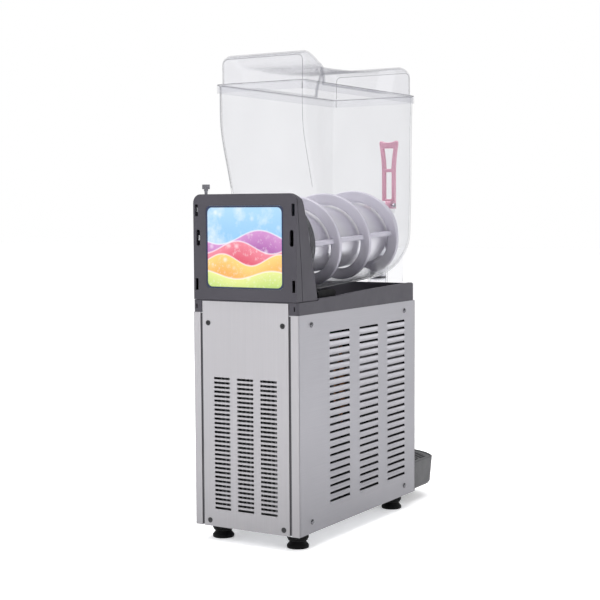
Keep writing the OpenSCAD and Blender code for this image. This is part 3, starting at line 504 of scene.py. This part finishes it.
# ------------------------------------------------------------------ camera and light
yaw, pitch, roll = math.radians(31.34069723), math.radians(3.95166589), math.radians(-0.35894307)
back = Vector((-math.sin(yaw) * math.cos(pitch), math.cos(yaw) * math.cos(pitch), math.sin(pitch)))
fwd = -back
right = fwd.cross(Vector((0, 0, 1))).normalized()
up = right.cross(fwd)
r2 = math.cos(roll) * right + math.sin(roll) * up
u2 = -math.sin(roll) * right + math.cos(roll) * up
cam = bpy.data.cameras.new("Camera")
cam.lens = 1334.9114766 / 600 * 36
cam.sensor_width = 36
cam.clip_start = 0.05
cam.clip_end = 60
camo = bpy.data.objects.new("Camera", cam)
COL.objects.link(camo)
mw = Matrix((r2, u2, -fwd)).transposed().to_4x4()
mw.translation = Vector((-1.17841943847, 1.76485825246 + Y_REAR / 1000.0, 0.54457361714))
camo.matrix_world = mw
SC.camera = camo
SC.view_settings.view_transform = "Standard"
SC.cycles.transparent_max_bounces = 32

world = bpy.data.worlds.new("studio")
SC.world = world
world.use_nodes = True
wn = world.node_tree
wn.nodes.clear()
wo = wn.nodes.new("ShaderNodeOutputWorld")
bg = wn.nodes.new("ShaderNodeBackground")
tc = wn.nodes.new("ShaderNodeTexCoord")
sx = wn.nodes.new("ShaderNodeSeparateXYZ")
mr = wn.nodes.new("ShaderNodeMapRange")
cr = wn.nodes.new("ShaderNodeMix")
cr.data_type = "RGBA"
wn.links.new(tc.outputs["Generated"], sx.inputs[0])
wn.links.new(sx.outputs["Z"], mr.inputs["Value"])
mr.inputs["From Min"].default_value = -0.25
mr.inputs["From Max"].default_value = 0.35
wn.links.new(mr.outputs["Result"], cr.inputs[0])
cr.inputs[6].default_value = (0.40, 0.40, 0.42, 1)
cr.inputs[7].default_value = (1.0, 1.0, 1.0, 1)
wn.links.new(cr.outputs[2], bg.inputs["Color"])
bg.inputs["Strength"].default_value = 0.78
bw = wn.nodes.new("ShaderNodeBackground")
bw.inputs["Color"].default_value = (1, 1, 1, 1)
bw.inputs["Strength"].default_value = 1.0
lp = wn.nodes.new("ShaderNodeLightPath")
ms = wn.nodes.new("ShaderNodeMixShader")
wn.links.new(lp.outputs["Is Camera Ray"], ms.inputs[0])
wn.links.new(bg.outputs[0], ms.inputs[1])
wn.links.new(bw.outputs[0], ms.inputs[2])
wn.links.new(ms.outputs[0], wo.inputs["Surface"])


def area(name, loc, target, size, power, col=(1, 1, 1)):
    li = bpy.data.lights.new(name, "AREA")
    li.shape = "RECTANGLE"
    li.size, li.size_y = size
    li.energy = power
    li.color = col
    o = bpy.data.objects.new(name, li)
    COL.objects.link(o)
    o.location = loc
    o.rotation_euler = (Vector(target) - Vector(loc)).to_track_quat("-Z", "Y").to_euler()
    return o


area("key", (1.3, 1.9, 1.9), (0, 0.1, 0.35), (1.3, 1.3), 24)
area("top", (0.0, 0.0, 2.6), (0, 0, 0.3), (2.6, 2.6), 62)
area("fill", (-2.2, 0.3, 1.1), (0, 0, 0.4), (1.2, 1.6), 6)

fl = bpy.data.meshes.new("floor")
fl.from_pydata([(-14, -14, 0), (14, -14, 0), (14, 14, 0), (-14, 14, 0)], [], [(0, 1, 2, 3)])
floor = bpy.data.objects.new("floor", fl)
COL.objects.link(floor)
q = M("floor_paper")
b = q.bsdf(Roughness=0.55)
b.inputs["Specular IOR Level"].default_value = 0.1
b.inputs["Emission Color"].default_value = (1, 1, 1, 1)
b.inputs["Emission Strength"].default_value = 0.31
q.link(q.mix(q.noise(1.5, 3), (0.93, 0.93, 0.94), (0.97, 0.97, 0.98)), b.inputs["Base Color"])
q.link(q.rng(q.noise(12, 3), 0.3, 0.7, 0.5, 0.62), b.inputs["Roughness"])
fl.materials.append(q.done(b.outputs[0]))

# ------------------------------------------------------------------ bowl
ZH = 582.0
B_TOP = 748.3
R_Z = [(499, 101), (537, 90.5), (575.5, 79), (612, 68), (644, 57.8), (664, 52.2), (684, 48.6), (704, 47.6), (760, 47.5)]
F_Z = [(400, 429.0), (450, 430.0), (505, 431), (561, 434), (653, 435.5), (700, 437.4), (735, 439.2), (760, 439.8)]


def d_rear(z):
    return float(np.interp(z, [a for a, _ in R_Z], [b for _, b in R_Z]))


def d_front(z):
    return float(np.interp(z, [a for a, _ in F_Z], [b for _, b in F_Z]))


def bowl_shell():
    ups = [B_TOP, 744, 735, 722, 708, 696, 684, 674, 664, 654, 644, 634, 623, 612, 602, 592, ZH]
    rows = [("u", z) for z in ups] + [("l", f / 6) for f in range(1, 7)] + [("a", a) for a in np.linspace(90, 0, 25)[1:]]
    NR, NM, NF, C = 6, 10, 8, 10
    vs, fs = [], []
    grid = {}

    def prof(row, d, o):
        k, v = row
        if k == "u":
            return 83 - o, v
        if k == "l":
            return 83 - o, ZH + (zax(d) - ZH) * v
        a = math.radians(v)
        return (83 - o) * math.sin(a), zax(d) - (86 - o) * math.cos(a)

    def radii(row):
        k, v = row
        if k == "u":
            return 13.0, 11.0
        if k == "l":
            return 13.0 * (1 - v), 11.0
        return 0.0, 11.0 + 21.0 * (1 - math.sin(math.radians(v))) ** 0.8

    def add(p):
        vs.append(p)
        return len(vs) - 1

    nj = NR + NM + NF + 1
    for sgn in (1, -1):
        for i, row in enumerate(rows):
            rr, rf = radii(row)
            zb = prof(row, 300 if row[0] != "a" else 430, 0)[1]
            zr = prof(row, 95, 0)[1] if row[0] != "u" else row[1]
            dR, dF = d_rear(zr), d_front(zb)
            for j in range(nj):
                if j <= NR:
                    ph = math.radians(90 * (1 - j / NR))
                    d, o = dR + rr * (1 - math.sin(ph)), rr * (1 - math.cos(ph))
                elif j < NR + NM:
                    t = (j - NR) / NM
                    d, o = (dR + rr) * (1 - t) + (dF - rf) * t, 0
                else:
                    ph = math.radians(90 * (j - NR - NM) / NF)
                    d, o = dF - rf * (1 - math.sin(ph)), rf * (1 - math.cos(ph))
                x, z = prof(row, d, o)
                grid[sgn, i, j] = (add(P(sgn * x, d, z)), x, d, z)
        for i in range(len(rows) - 1):
            for j in range(nj - 1):
                a, b_, c, e = (grid[sgn, i, j][0], grid[sgn, i, j + 1][0], grid[sgn, i + 1, j + 1][0], grid[sgn, i + 1, j][0])
                fs.append((a, b_, c, e) if sgn > 0 else (a, e, c, b_))
    # end walls: rows of quads across x
    for j, rset, flip in ((nj - 1, range(len(rows)), 1), (0, range(len(ups)), -1)):
        last = None
        for i in rset:
            _, x, d, z = grid[1, i, j]
            cur = [add(P(x * (2 * c / C - 1), d, z)) for c in range(C + 1)]
            if last:
                for c in range(C):
                    fs.append((last[c], last[c + 1], cur[c + 1], cur[c])[::flip])
            last = cur
    # rear lower part narrows to the round collar
    i0 = len(ups) - 1
    _, x0, d0, z0_ = grid[1, i0, 0]
    loop = [(x0 * (2 * c / C - 1), d0, z0_) for c in range(C + 1)]
    loop += [(grid[1, i, 0][1], grid[1, i, 0][2], grid[1, i, 0][3]) for i in range(i0 + 1, len(rows))]
    loop += [(-grid[-1, i, 0][1], grid[-1, i, 0][2], grid[-1, i, 0][3]) for i in range(len(rows) - 2, i0, -1)]
    rings = [[P(*p) for p in loop]]
    target = []
    for x, d, z in loop:
        th = math.atan2(x, z - zax(d))
        target.append((84 * math.sin(th), 84 * math.cos(th)))
    for k, s in ((0.35, None), (0.7, None), (1.0, 72.0)):
        ring = []
        for p, (tx, ty) in zip(loop, target):
            a = Vector(P(*p))
            b_ = Vector(A(tx, ty, 72.0))
            w = k if k == 1.0 else k
            ring.append(tuple(a.lerp(b_, w)))
        rings.append(ring)
    rings.append([A(tx, ty, 68.0) for tx, ty in target])
    n = len(loop)
    ids = [[add(p) for p in ring] for ring in rings]
    for r in range(len(ids) - 1):
        for k in range(n):
            fs.append((ids[r][k], ids[r][(k + 1) % n], ids[r + 1][(k + 1) % n], ids[r + 1][k]))
    ob = mesh_obj("bowl_shell", vs, fs, CLEAR, "bowl_body", weld=2e-5, out_from=P(0, 250, 640))
    so = ob.modifiers.new("wall", "SOLIDIFY")
    so.thickness = 0.0026
    so.offset = -1
    so.use_even_offset = True
    return ob


bowl = bowl_shell()
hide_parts("bowl")


def on(name):
    o = bpy.data.objects[name]
    return o


# skirt under the front of the bowl, standing over the deck
sk = [(x, 414.5) for x in (-78, 78)]
sk += [(x, 503.4 - math.sqrt(max(0.0, 86.2 ** 2 - x * x))) for x in np.linspace(78, -78, 25)]
plate("bowl_skirt", sk, [], 3.0, 0.5, lambda u, v, w: P(u, 399 + w, v), CLEAR, "bowl_body")
on("bowl_skirt")
# tap barrel, duct and the two ears that carry the lever
lathe("tap_barrel", [(15.5, 404), (16.2, 403), (18.4, 403), (19, 403.8), (19, 536), (19.6, 537), (19.6, 540.2), (18.9, 541), (16.1, 541), (15.5, 540.4)],
      lambda x, y, h: P(x, 452 + y, h), CLEAR, "bowl_body", n=72)
on("tap_barrel")
for k, (z1, z2, x1, x2) in enumerate(((419, 423.5, -16, 16), (437, 442, -16, 16), (423.4, 437.1, -16, -12), (423.4, 437.1, 12, 16))):
    box_obj("tap_duct_%d" % k, x1, x2, 428.5, 441.5, z1, z2, 0.5, CLEAR, "bowl_body")
    on("tap_duct_%d" % k)
pin_hole = [(482 + 2.6 * math.cos(a), 552 + 2.6 * math.sin(a)) for a in np.linspace(0, 2 * math.pi, 25)[:-1]]
ear = [(463.5, 521), (463.5, 538), (468, 549), (474, 559), (478, 561.2), (486, 561.2), (490, 558), (490, 547), (484, 538), (467, 521)]
for s in (-1, 1):
    nm = "lever_ear_%s" % ("l" if s < 0 else "r")
    plate(nm, ear, [pin_hole], 3.0, 0.6, (lambda u, v, w, s=s: P(s * (15.6 + w), u, v)), CLEAR, "bowl_body")
    on(nm)

# ------------------------------------------------------------------ lid
L_Z = 750.7
LID_TOP = [(54, 770), (57, 785), (60, 791.5), (66, 797), (72, 798.6), (80, 797.8), (88, 795.4), (97, 791.6), (106, 786.8), (119, 782.2), (135, 780.6),
           (160, 780.2), (201, 780.6), (253, 782.5), (300, 785.2), (340, 789.5), (370, 794.3), (390, 798.2), (403, 799.8), (415, 799.3), (425, 795.9), (431, 788), (435, 770)]


def lid_top(d):
    xs = [a for a, _ in LID_TOP]
    return float(np.interp(d, xs, [b for _, b in LID_TOP]))


def lid_shell():
    W, W2, R = 79.3, 62.0, 9.0
    D0, D1, RE = 54.0, 435.0, 9.0
    ds = [D0 + RE * (1 - math.sin(math.radians(90 * (1 - k / 6)))) for k in range(7)]
    ins = [RE * (1 - math.cos(math.radians(90 * (1 - k / 6)))) for k in range(7)]
    mid = list(np.linspace(D0 + RE, D1 - RE, 84)[1:-1])
    ds += mid
    ins += [0.0] * len(mid)
    ds += [D1 - RE * (1 - math.sin(math.radians(90 * k / 6))) for k in range(7)]
    ins += [RE * (1 - math.cos(math.radians(90 * k / 6))) for k in range(7)]
    NH, NA, NT = 7, 6, 8
    vs, fs, idx = [], [], {}

    def scoop(d, z):
        h = max(0.0, (z - L_Z) / 50.0)
        e1, e2 = 134 - 26 * h * h, 346 + 30 * h * h
        return smooth((d - (e1 - 13)) / 26.0) * (1 - smooth((d - (e2 - 13)) / 26.0))

    def add(p):
        vs.append(p)
        return len(vs) - 1

    for j, (d, o) in enumerate(zip(ds, ins)):
        # the crest follows its profile inside the rounded ends
        dt = min(max(d, D0 + RE), D1 - RE)
        zt = lid_top(dt if o == 0 else (dt + 0)) - o
        for i in range(NH + NA + NT + 1):
            if i <= NH:
                z = L_Z + (zt - R + min(o, R) * 0 - L_Z) * i / NH
                w = W - (W - W2) * scoop(d, z) - o
                x = w
            elif i <= NH + NA:
                a = math.radians(90 * (i - NH) / NA)
                zb = zt - R
                w = W - (W - W2) * scoop(d, zb) - o
                x = w - R * (1 - math.cos(a))
                z = zb + R * math.sin(a)
            else:
                zb = zt - R
                w = W - (W - W2) * scoop(d, zb) - o - R
                x = w * (1 - (i - NH - NA) / NT)
                z = zt
            idx[1, i, j] = (add(P(x, d, z)), x, d, z)
            idx[-1, i, j] = (add(P(-x, d, z)), -x, d, z)
    ni, nj = NH + NA + NT + 1, len(ds)
    for s in (1, -1):
        for i in range(ni - 1):
            for j in range(nj - 1):
                q_ = (idx[s, i, j][0], idx[s, i, j + 1][0], idx[s, i + 1, j + 1][0], idx[s, i + 1, j][0])
                fs.append(q_ if s > 0 else q_[::-1])
    # end walls
    fr = [i / NT for i in range(NT)]
    for j, flip in ((0, 1), (nj - 1, -1)):
        last = None
        for i in range(NH + NA + 1):
            _, x, d, z = idx[1, i, j]
            cols = [x * f for f in [1 - k / NT for k in range(NT + 1)]]
            cur = [add(P(c, d, z)) for c in cols + [-c for c in cols[::-1][1:]]]
            if last:
                for c in range(len(cur) - 1):
                    fs.append((last[c], last[c + 1], cur[c + 1], cur[c])[::flip])
            last = cur
    # flange and skirt: every point of the dome's foot goes out to a rounded rectangle
    X2, DA, DB, RC = 85.3, 45.0, 441.8, 11.0

    def clamp(x, d, g=0.0):
        hx, a, b_, r = X2 + g, DA - g, DB + g, RC + g
        cx, cd = max(-(hx - r), min(hx - r, x)), max(a + r, min(b_ - r, d))
        if abs(x) > hx - r and (d < a + r or d > b_ - r):
            vx, vd = x - cx, d - cd
            L = math.hypot(vx, vd) or 1
            return cx + vx / L * r, cd + vd / L * r
        return x, d

    foot = [(idx[1, 0, j][1], idx[1, 0, j][2], 0, j) for j in range(nj)]
    xe = idx[1, 0, nj - 1][1]
    foot += [(xe * (1 - 2 * k / 16), ds[-1], 1, 0) for k in range(1, 16)]
    foot += [(idx[-1, 0, j][1], idx[-1, 0, j][2], 2, j) for j in range(nj - 1, -1, -1)]
    foot += [(-xe * (1 - 2 * k / 16), ds[0], 3, 0) for k in range(1, 16)]
    outer = []
    for x, d, side, _ in foot:
        dd = DA + (d - D0) * (DB - DA) / (D1 - D0)
        if side in (0, 2):
            outer.append(clamp(X2 if side == 0 else -X2, dd))
        else:
            outer.append(clamp(x * X2 / xe, DB if side == 1 else DA))
    rings = [[P(x, d, L_Z) for x, d, _, _ in foot]]
    for f in (0.12, 0.5):
        rings.append([P(x + (ox - x) * f, d + (od - d) * f, L_Z) for (x, d, _, _), (ox, od) in zip(foot, outer)])
    cx, cd = 0.0, (DA + DB) / 2

    def inset(ox, od, g):
        hx, hd = X2, (DB - DA) / 2
        return ox - math.copysign(min(g, abs(ox)), ox) * smooth((abs(ox) - (hx - 16)) / 16), od - math.copysign(g, od - cd) * smooth((abs(od - cd) - (hd - 16)) / 16)

    for g, z in ((1.3, L_Z), (0.35, L_Z - 0.35), (0.0, L_Z - 1.3), (0.0, L_Z - 6), (0.0, L_Z - 12.6), (-0.0, L_Z - 14)):
        rings.append([P(*inset(ox, od, g), z) for ox, od in outer])
    n = len(foot)
    ids = [[add(p) for p in r] for r in rings]
    for r in range(len(ids) - 1):
        for k in range(n):
            fs.append((ids[r][k], ids[r][(k + 1) % n], ids[r + 1][(k + 1) % n], ids[r + 1][k]))
    ob = mesh_obj("lid_shell", vs, fs, CLEAR_LID, "lid_body", weld=2e-5, out_from=P(0, 250, 700))
    so = ob.modifiers.new("wall", "SOLIDIFY")
    so.thickness = 0.0020
    so.offset = -1
    so.use_even_offset = False
    return ob


lid = lid_shell()
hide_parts("bowl_lid")



def bead(name, path, r, body, closed):
    """Painted shade along an edge of a clear part, where light is turned away: a fine closed grey tube inside the wall
    stands in for the dark line.
    """
    n = len(path)
    pts = [Vector(v) for v in path]
    vs, fs = [], []
    for k in range(n):
        a = pts[(k - 1) % n] if closed or k else pts[0]
        b_ = pts[(k + 1) % n] if closed or k < n - 1 else pts[-1]
        t = (b_ - a).normalized()
        ref = Vector((0.31, 0.2, 0.93)) if abs(t.z) < 0.8 else Vector((0.93, 0.2, 0.31))
        u = t.cross(ref).normalized()
        w = t.cross(u)
        for i in range(8):
            g = math.radians(45 * i)
            vs.append(tuple(pts[k] + (u * math.cos(g) + w * math.sin(g)) * r / 1000.0))
    for k in range(n if closed else n - 1):
        for i in range(8):
            a, b_ = k * 8 + i, k * 8 + (i + 1) % 8
            c, e = ((k + 1) % n) * 8 + (i + 1) % 8, ((k + 1) % n) * 8 + i
            fs.append((a, b_, c, e))
    if not closed:
        fs.append(tuple(range(7, -1, -1)))
        fs.append(tuple((n - 1) * 8 + i for i in range(8)))
    o = mesh_obj(name, vs, fs, CLEAR_EDGE_SHADE, body, weld=1e-6, sharp=60)
    return o


# painted shade lines along the lid rim, the lid ends and the bowl's rear corners
bead("lid_rim_edge", [P(x, d, L_Z - 0.9) for x, d in rrect_pts(-84.6, 84.6, 45.7, 441.1, 10.4, 8)], 0.45, "lid_body", True)
for tag, d, zt in (("rear", 57.2, lid_top(63) - 3.2), ("front", 431.8, lid_top(426) - 3.2)):
    side = [(76.2, L_Z + 1 + (zt - 9 - L_Z - 1) * k / 10) for k in range(11)]
    arc_ = [(67.2 + 9 * math.cos(math.radians(90 * k / 8)), zt - 9 + 9 * math.sin(math.radians(90 * k / 8))) for k in range(1, 9)]
    run = side + arc_
    run = run + [(-x, z) for x, z in run[::-1]]
    bead("lid_end_edge_" + tag, [P(x, d, z) for x, z in run], 0.40, "lid_body", False)
for sx_, tag in ((-1, "l"), (1, "r")):
    zs_ = np.linspace(B_TOP - 1.0, ZH, 30)
    bead("bowl_corner_edge_" + tag, [P(sx_ * 78.3, d_rear(z) + 4.8, z) for z in zs_], 0.42 if sx_ > 0 else 0.30, "bowl_body", False)

# ------------------------------------------------------------------ auger
def sweep(name, ring_at, n, mat, body, cap=True):
    vs, fs = [], []
    m = len(ring_at(0))
    for k in range(n + 1):
        vs += ring_at(k)
    for k in range(n):
        for i in range(m):
            a, b_ = k * m + i, k * m + (i + 1) % m
            fs.append((a, b_, b_ + m, a + m))
    if cap:
        fs.append(tuple(range(m - 1, -1, -1)))
        fs.append(tuple(n * m + i for i in range(m)))
    return mesh_obj(name, vs, fs, mat, body, sharp=60)


TH0, TH1, S_TOP, PITCH = -157.5, 900.0, 149.2, 103.7


def flight_ring(k, n=282):
    th = TH0 + (TH1 - TH0) * k / n
    a = math.radians(th)
    e_ = min(1.0, (th - TH0) / 26.0, (TH1 - th) / 26.0)
    ro = 66.0 + (77.4 - 66.0) * math.sin(math.pi / 2 * max(0.12, e_))
    ri = 58.0
    pts = [(ri + 0.2, -2.1), (ri + 1.0, -2.9), (ri + 6, -3.6), (ro - 2.4, -4.25), (ro - 0.9, -3.9), (ro - 0.1, -2.7), (ro, 0),
           (ro - 0.1, 2.7), (ro - 0.9, 3.9), (ro - 2.4, 4.25), (ri + 6, 3.6), (ri + 1.0, 2.9), (ri + 0.2, 2.1), (ri, 0)]
    s0 = S_TOP + PITCH * th / 360
    s0 = max(s0, 98.0 + 4.4)
    return [A(-r * math.sin(a), r * math.cos(a), min(max(s0 + w, 98.0), 407.4)) for r, w in pts]


flight = sweep("auger_flights", lambda k: flight_ring(k), 282, AUGER, "auger_drive")
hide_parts("auger")
for s in (-1, 1):
    def bar_ring(k, s=s):
        sv = 98 + 304 * k / 40
        x0_, x1_ = (58.5, 66.5)
        pr = [(x0_ + 1, -4.2), (x1_ - 1, -4.2), (x1_, -3.2), (x1_, 3.2), (x1_ - 1, 4.2), (x0_ + 1, 4.2), (x0_, 3.2), (x0_, -3.2)]
        return [A(s * x, y, sv) for x, y in pr]
    nm = "auger_bar_%s" % ("l" if s < 0 else "r")
    sweep(nm, bar_ring, 40, AUGER, "auger_drive")
    on(nm)
lathe("auger_rear_ring", [(58, 98.8), (58.8, 98), (65.2, 98), (66, 98.8), (66, 106.2), (65.2, 107), (58.8, 107), (58, 106.2)],
      lambda x, y, h: A(x, y, h), AUGER, "auger_drive", n=96)
on("auger_rear_ring")
disc = [(66 * math.cos(a), 66 * math.sin(a)) for a in np.linspace(0, 2 * math.pi, 97)[:-1]]
dh = [[(29.9 * math.cos(a), 29.9 * math.sin(a)) for a in np.linspace(0, 2 * math.pi, 49)[:-1]]]
for c in (45, 135, 225, 315):
    cx, cy = 46 * math.cos(math.radians(c)), 46 * math.sin(math.radians(c))
    dh.append([(cx + 10 * math.cos(a), cy + 10 * math.sin(a)) for a in np.linspace(0, 2 * math.pi, 33)[:-1]])
plate("auger_front_disc", disc, dh, 6.0, 1.0, lambda u, v, w: A(u, v, 401.6 + w), AUGER, "auger_drive")
on("auger_front_disc")

# ------------------------------------------------------------------ tap lever
def lever_plate():
    z = 552.0
    out = [(-13.6, z - 6), (-13.6, z + 62), (-13.9, z + 74), (-14.8, z + 86), (-16.4, z + 100), (-18.4, z + 112), (-19, z + 117), (-18.4, z + 120.3),
           (-16.5, z + 122), (-13.5, z + 121.4), (-9, z + 119.6), (0, z + 118.8)]
    out = out + [(-a, b_) for a, b_ in out[::-1][1:]]
    w1 = [(-6.9, z + 13), (-6.9, z + 61.5), (-6, z + 63), (6, z + 63), (6.9, z + 61.5), (6.9, z + 13), (5.9, z + 12), (-5.9, z + 12)]
    w2 = [(-6.5, z + 70), (-7.4, z + 84), (-9.2, z + 98), (-10.6, z + 106), (-9.8, z + 107.6), (9.8, z + 107.6), (10.6, z + 106), (9.2, z + 98), (7.4, z + 84), (6.5, z + 70), (5.5, z + 69), (-5.5, z + 69)]
    o = plate("lever_frame", out, [w1, w2], 8.0, 1.6, lambda u, v, w: P(u, 494 + w, v), RED, "lever_body", seg=4)
    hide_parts("tap_lever")


lever_plate()
hole = [(482 + 2.6 * math.cos(a), 552 + 2.6 * math.sin(a)) for a in np.linspace(0, 2 * math.pi, 25)[:-1]]
plate("lever_hub", [(475, 546.5), (474.2, 552), (474.8, 557.5), (478, 559.6), (486, 560.6), (495, 561), (495, 546), (486, 545.6), (478, 545.9)], [hole], 27.2, 0.8,
      lambda u, v, w: P(-13.6 + w, u, v), RED, "lever_body", seg=3)
on("lever_hub")
for s in (-1, 1):
    nm = "lever_finger_%s" % ("l" if s < 0 else "r")
    plate(nm, [(450.5, 549.6), (449.2, 552), (450.5, 554.4), (476, 555.8), (476, 548.2)], [], 4.4, 0.7,
          (lambda u, v, w, s=s: P(s * 10.4 - 2.2 + w, u, v)), RED, "lever_body")
    on(nm)

# ------------------------------------------------------------------ housing, deck, tray: edges rounded
soften("tower_shell", 1.6, HOUSING)
soften("tower_rear_cover", 1.3, HOUSING)
soften("deck_collar", 1.6, HOUSING)
soften("bowl_rests", 2.0, BLACK)


def tray_warp(v):
    # the tray draws in a little towards its bottom
    t = min(1.0, max(0.0, (0.077 - v.z) / 0.053))
    back = (Y_REAR - 409.4) / 1000.0
    k = min(1.0, max(0.0, (back - v.y) / 0.13))
    return (v.x * (1 - 0.04 * t), v.y + 0.005 * t * k, v.z)


soften("drip_tray", 1.6, TRAY, warp=tray_warp)
soften("drip_grille", 0.5, TRAY, seg=2)
soften("switch_plate", 0.8, BLACK, seg=2)
soften("rocker_power", 0.8, GREEN)
soften("rocker_mode", 0.8, BLACK)
soften("tap_cap", 0.5, WHITE, seg=2)
soften("seal_flange", 0.8, WHITE, seg=2)

# thin dark rim round the lit picture
rim_o = rrect_pts(-73.3, 73.3, 420.2, 552.3, 8, 10)
rim_i = rrect_pts(-70.8, 70.8, 422.7, 549.8, 8.6, 10)
plate("picture_rim", rim_o, [rim_i], 0.7, 0.15, lambda u, v, w: P(u, 0.1 + w, v), NAVY, "cabinet")

# ------------------------------------------------------------------ cabinet side panels with pressed louvres
LV_W, LV_P, LV_TOP = 69.0, 12.52, 345.5
COLS = (130.5, 231.0, 331.75)
N_ROWS = 23


def side_panel(side):
    """side -1 is the -X panel, +1 the +X one."""
    node = "side_panel_left" if side < 0 else "side_panel_right"
    holes = []
    for dc in COLS:
        for i in range(N_ROWS):
            z = LV_TOP - i * LV_P
            a, b_ = dc - LV_W / 2 + 2.5, dc + LV_W / 2 - 3.4
            pts = [(a + 1.1 * math.cos(math.radians(t)), z + 0.95 + 1.45 * math.sin(math.radians(t))) for t in (90, 120, 150, 180, 210, 240, 270)]
            pts += [(b_ - 4.6, z - 0.6), (b_ - 3.4, z - 1.2), (b_ - 2.4, z - 2.0)]
            pts += [(b_ + 2.2 * math.cos(math.radians(t)), z - 0.1 + 2.9 * math.sin(math.radians(t))) for t in (-120, -90, -60, -30, 0, 30, 60, 90)]
            holes.append(pts[::-1])
    for d in (40, 364):
        for z in (364, 48):
            holes.append([(d + 2 * math.cos(a), z + 2 * math.sin(a)) for a in np.linspace(0, 2 * math.pi, 17)[:-1]])
    out = [(1.2, 30), (405.8, 30), (405.8, 380.5), (1.2, 380.5)]
    nm = "side_sheet_%s" % ("l" if side < 0 else "r")
    o = plate(nm, out, holes, 1.2, 0.15, (lambda u, v, w: P(side * (100 - w), u, v)), STEEL_SIDE_SHADED, "cabinet", seg=1)
    # inside faces and slot walls of the sheet get the near-black painted shade
    o.data.materials.append(INSIDE_PAINTED_SHADE)
    for f in o.data.polygons:
        cx = side * f.center.x * 1000
        if f.normal.x * side < -0.5 or (cx < 99.75 and abs(f.normal.x) < 0.6):
            f.material_index = 1
    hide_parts(node)
    # folds round the rear and front edges
    for tag, d1, d2, f in (("rear", 0.0, 14.0, 1), ("front", 407.0, 393.0, -1)):
        prof = []
        r = 1.6
        for t in range(7):
            a = math.radians(90 * t / 6)
            prof.append((100 - r + r * math.cos(a), d1 + f * (r - r * math.sin(a))))
        outer = [(100.0, d1 + f * 2.6)] + prof + [(86.4, d1), (86.2, d1 + f * 0.3), (86.2, d1 + f * 0.9), (86.4, d1 + f * 1.2)]
        inner = [(98.8, d1 + f * 1.2), (98.8, d1 + f * 2.6)]
        ring = outer + inner
        zz = [30.0, 380.5]
        vs, fs = [], []
        for z in zz:
            vs += [P(side * x, d, z) for x, d in ring]
        m = len(ring)
        for i in range(m):
            fs.append((i, (i + 1) % m, m + (i + 1) % m, m + i))
        fs.append(tuple(range(m)))
        fs.append(tuple(range(2 * m - 1, m - 1, -1)))
        w = mesh_obj("side_fold_%s_%s" % (tag, "l" if side < 0 else "r"), vs, fs, STEEL if tag == "rear" else STEEL, "cabinet", sharp=35)
    # louvre hoods
    vs, fs = [], []
    prof = [(-7.0, -0.02), (-6.1, 0.14), (-4.9, 0.62), (-3.5, 1.3), (-2.4, 1.75), (-1.5, 2.02), (-0.9, 2.08), (-0.6, 1.95), (-0.55, 1.5), (-0.6, 1.0), (-0.62, 0.3), (-0.65, -0.9)]
    for dc in COLS:
        for i in range(N_ROWS):
            z = LV_TOP - i * LV_P
            base = len(vs)
            nd = 22
            for k in range(nd + 1):
                t = k / nd
                u = -LV_W / 2 + LV_W * t
                e1 = min(1.0, (LV_W * t) / 7.0)
                e2 = min(1.0, (LV_W * (1 - t)) / 8.0)
                f = math.sqrt(max(0.0, 1 - (1 - e1) ** 2)) * math.sqrt(max(0.0, 1 - (1 - e2) ** 2))
                drop = 2.3 * (1 - e2) ** 1.5
                for dz, h in prof:
                    zz_ = z + (dz - drop if dz > -2 else dz * (1 - 0.25 * (1 - f)))
                    vs.append(P(side * (100 + (h * f if h > 0 else h)), dc + u, zz_))
            m = len(prof)
            for k in range(nd):
                for p in range(m - 1):
                    a = base + k * m + p
                    fs.append((a, a + 1, a + 1 + m, a + m))
    h = mesh_obj("louvres_%s" % ("l" if side < 0 else "r"), vs, fs, STEEL_SIDE_SHADED, "cabinet", weld=1e-6, sharp=70)
    me = h.data
    nrm = np.zeros(len(me.polygons) * 3)
    me.polygons.foreach_get("normal", nrm)
    return o


side_panel(-1)
side_panel(1)
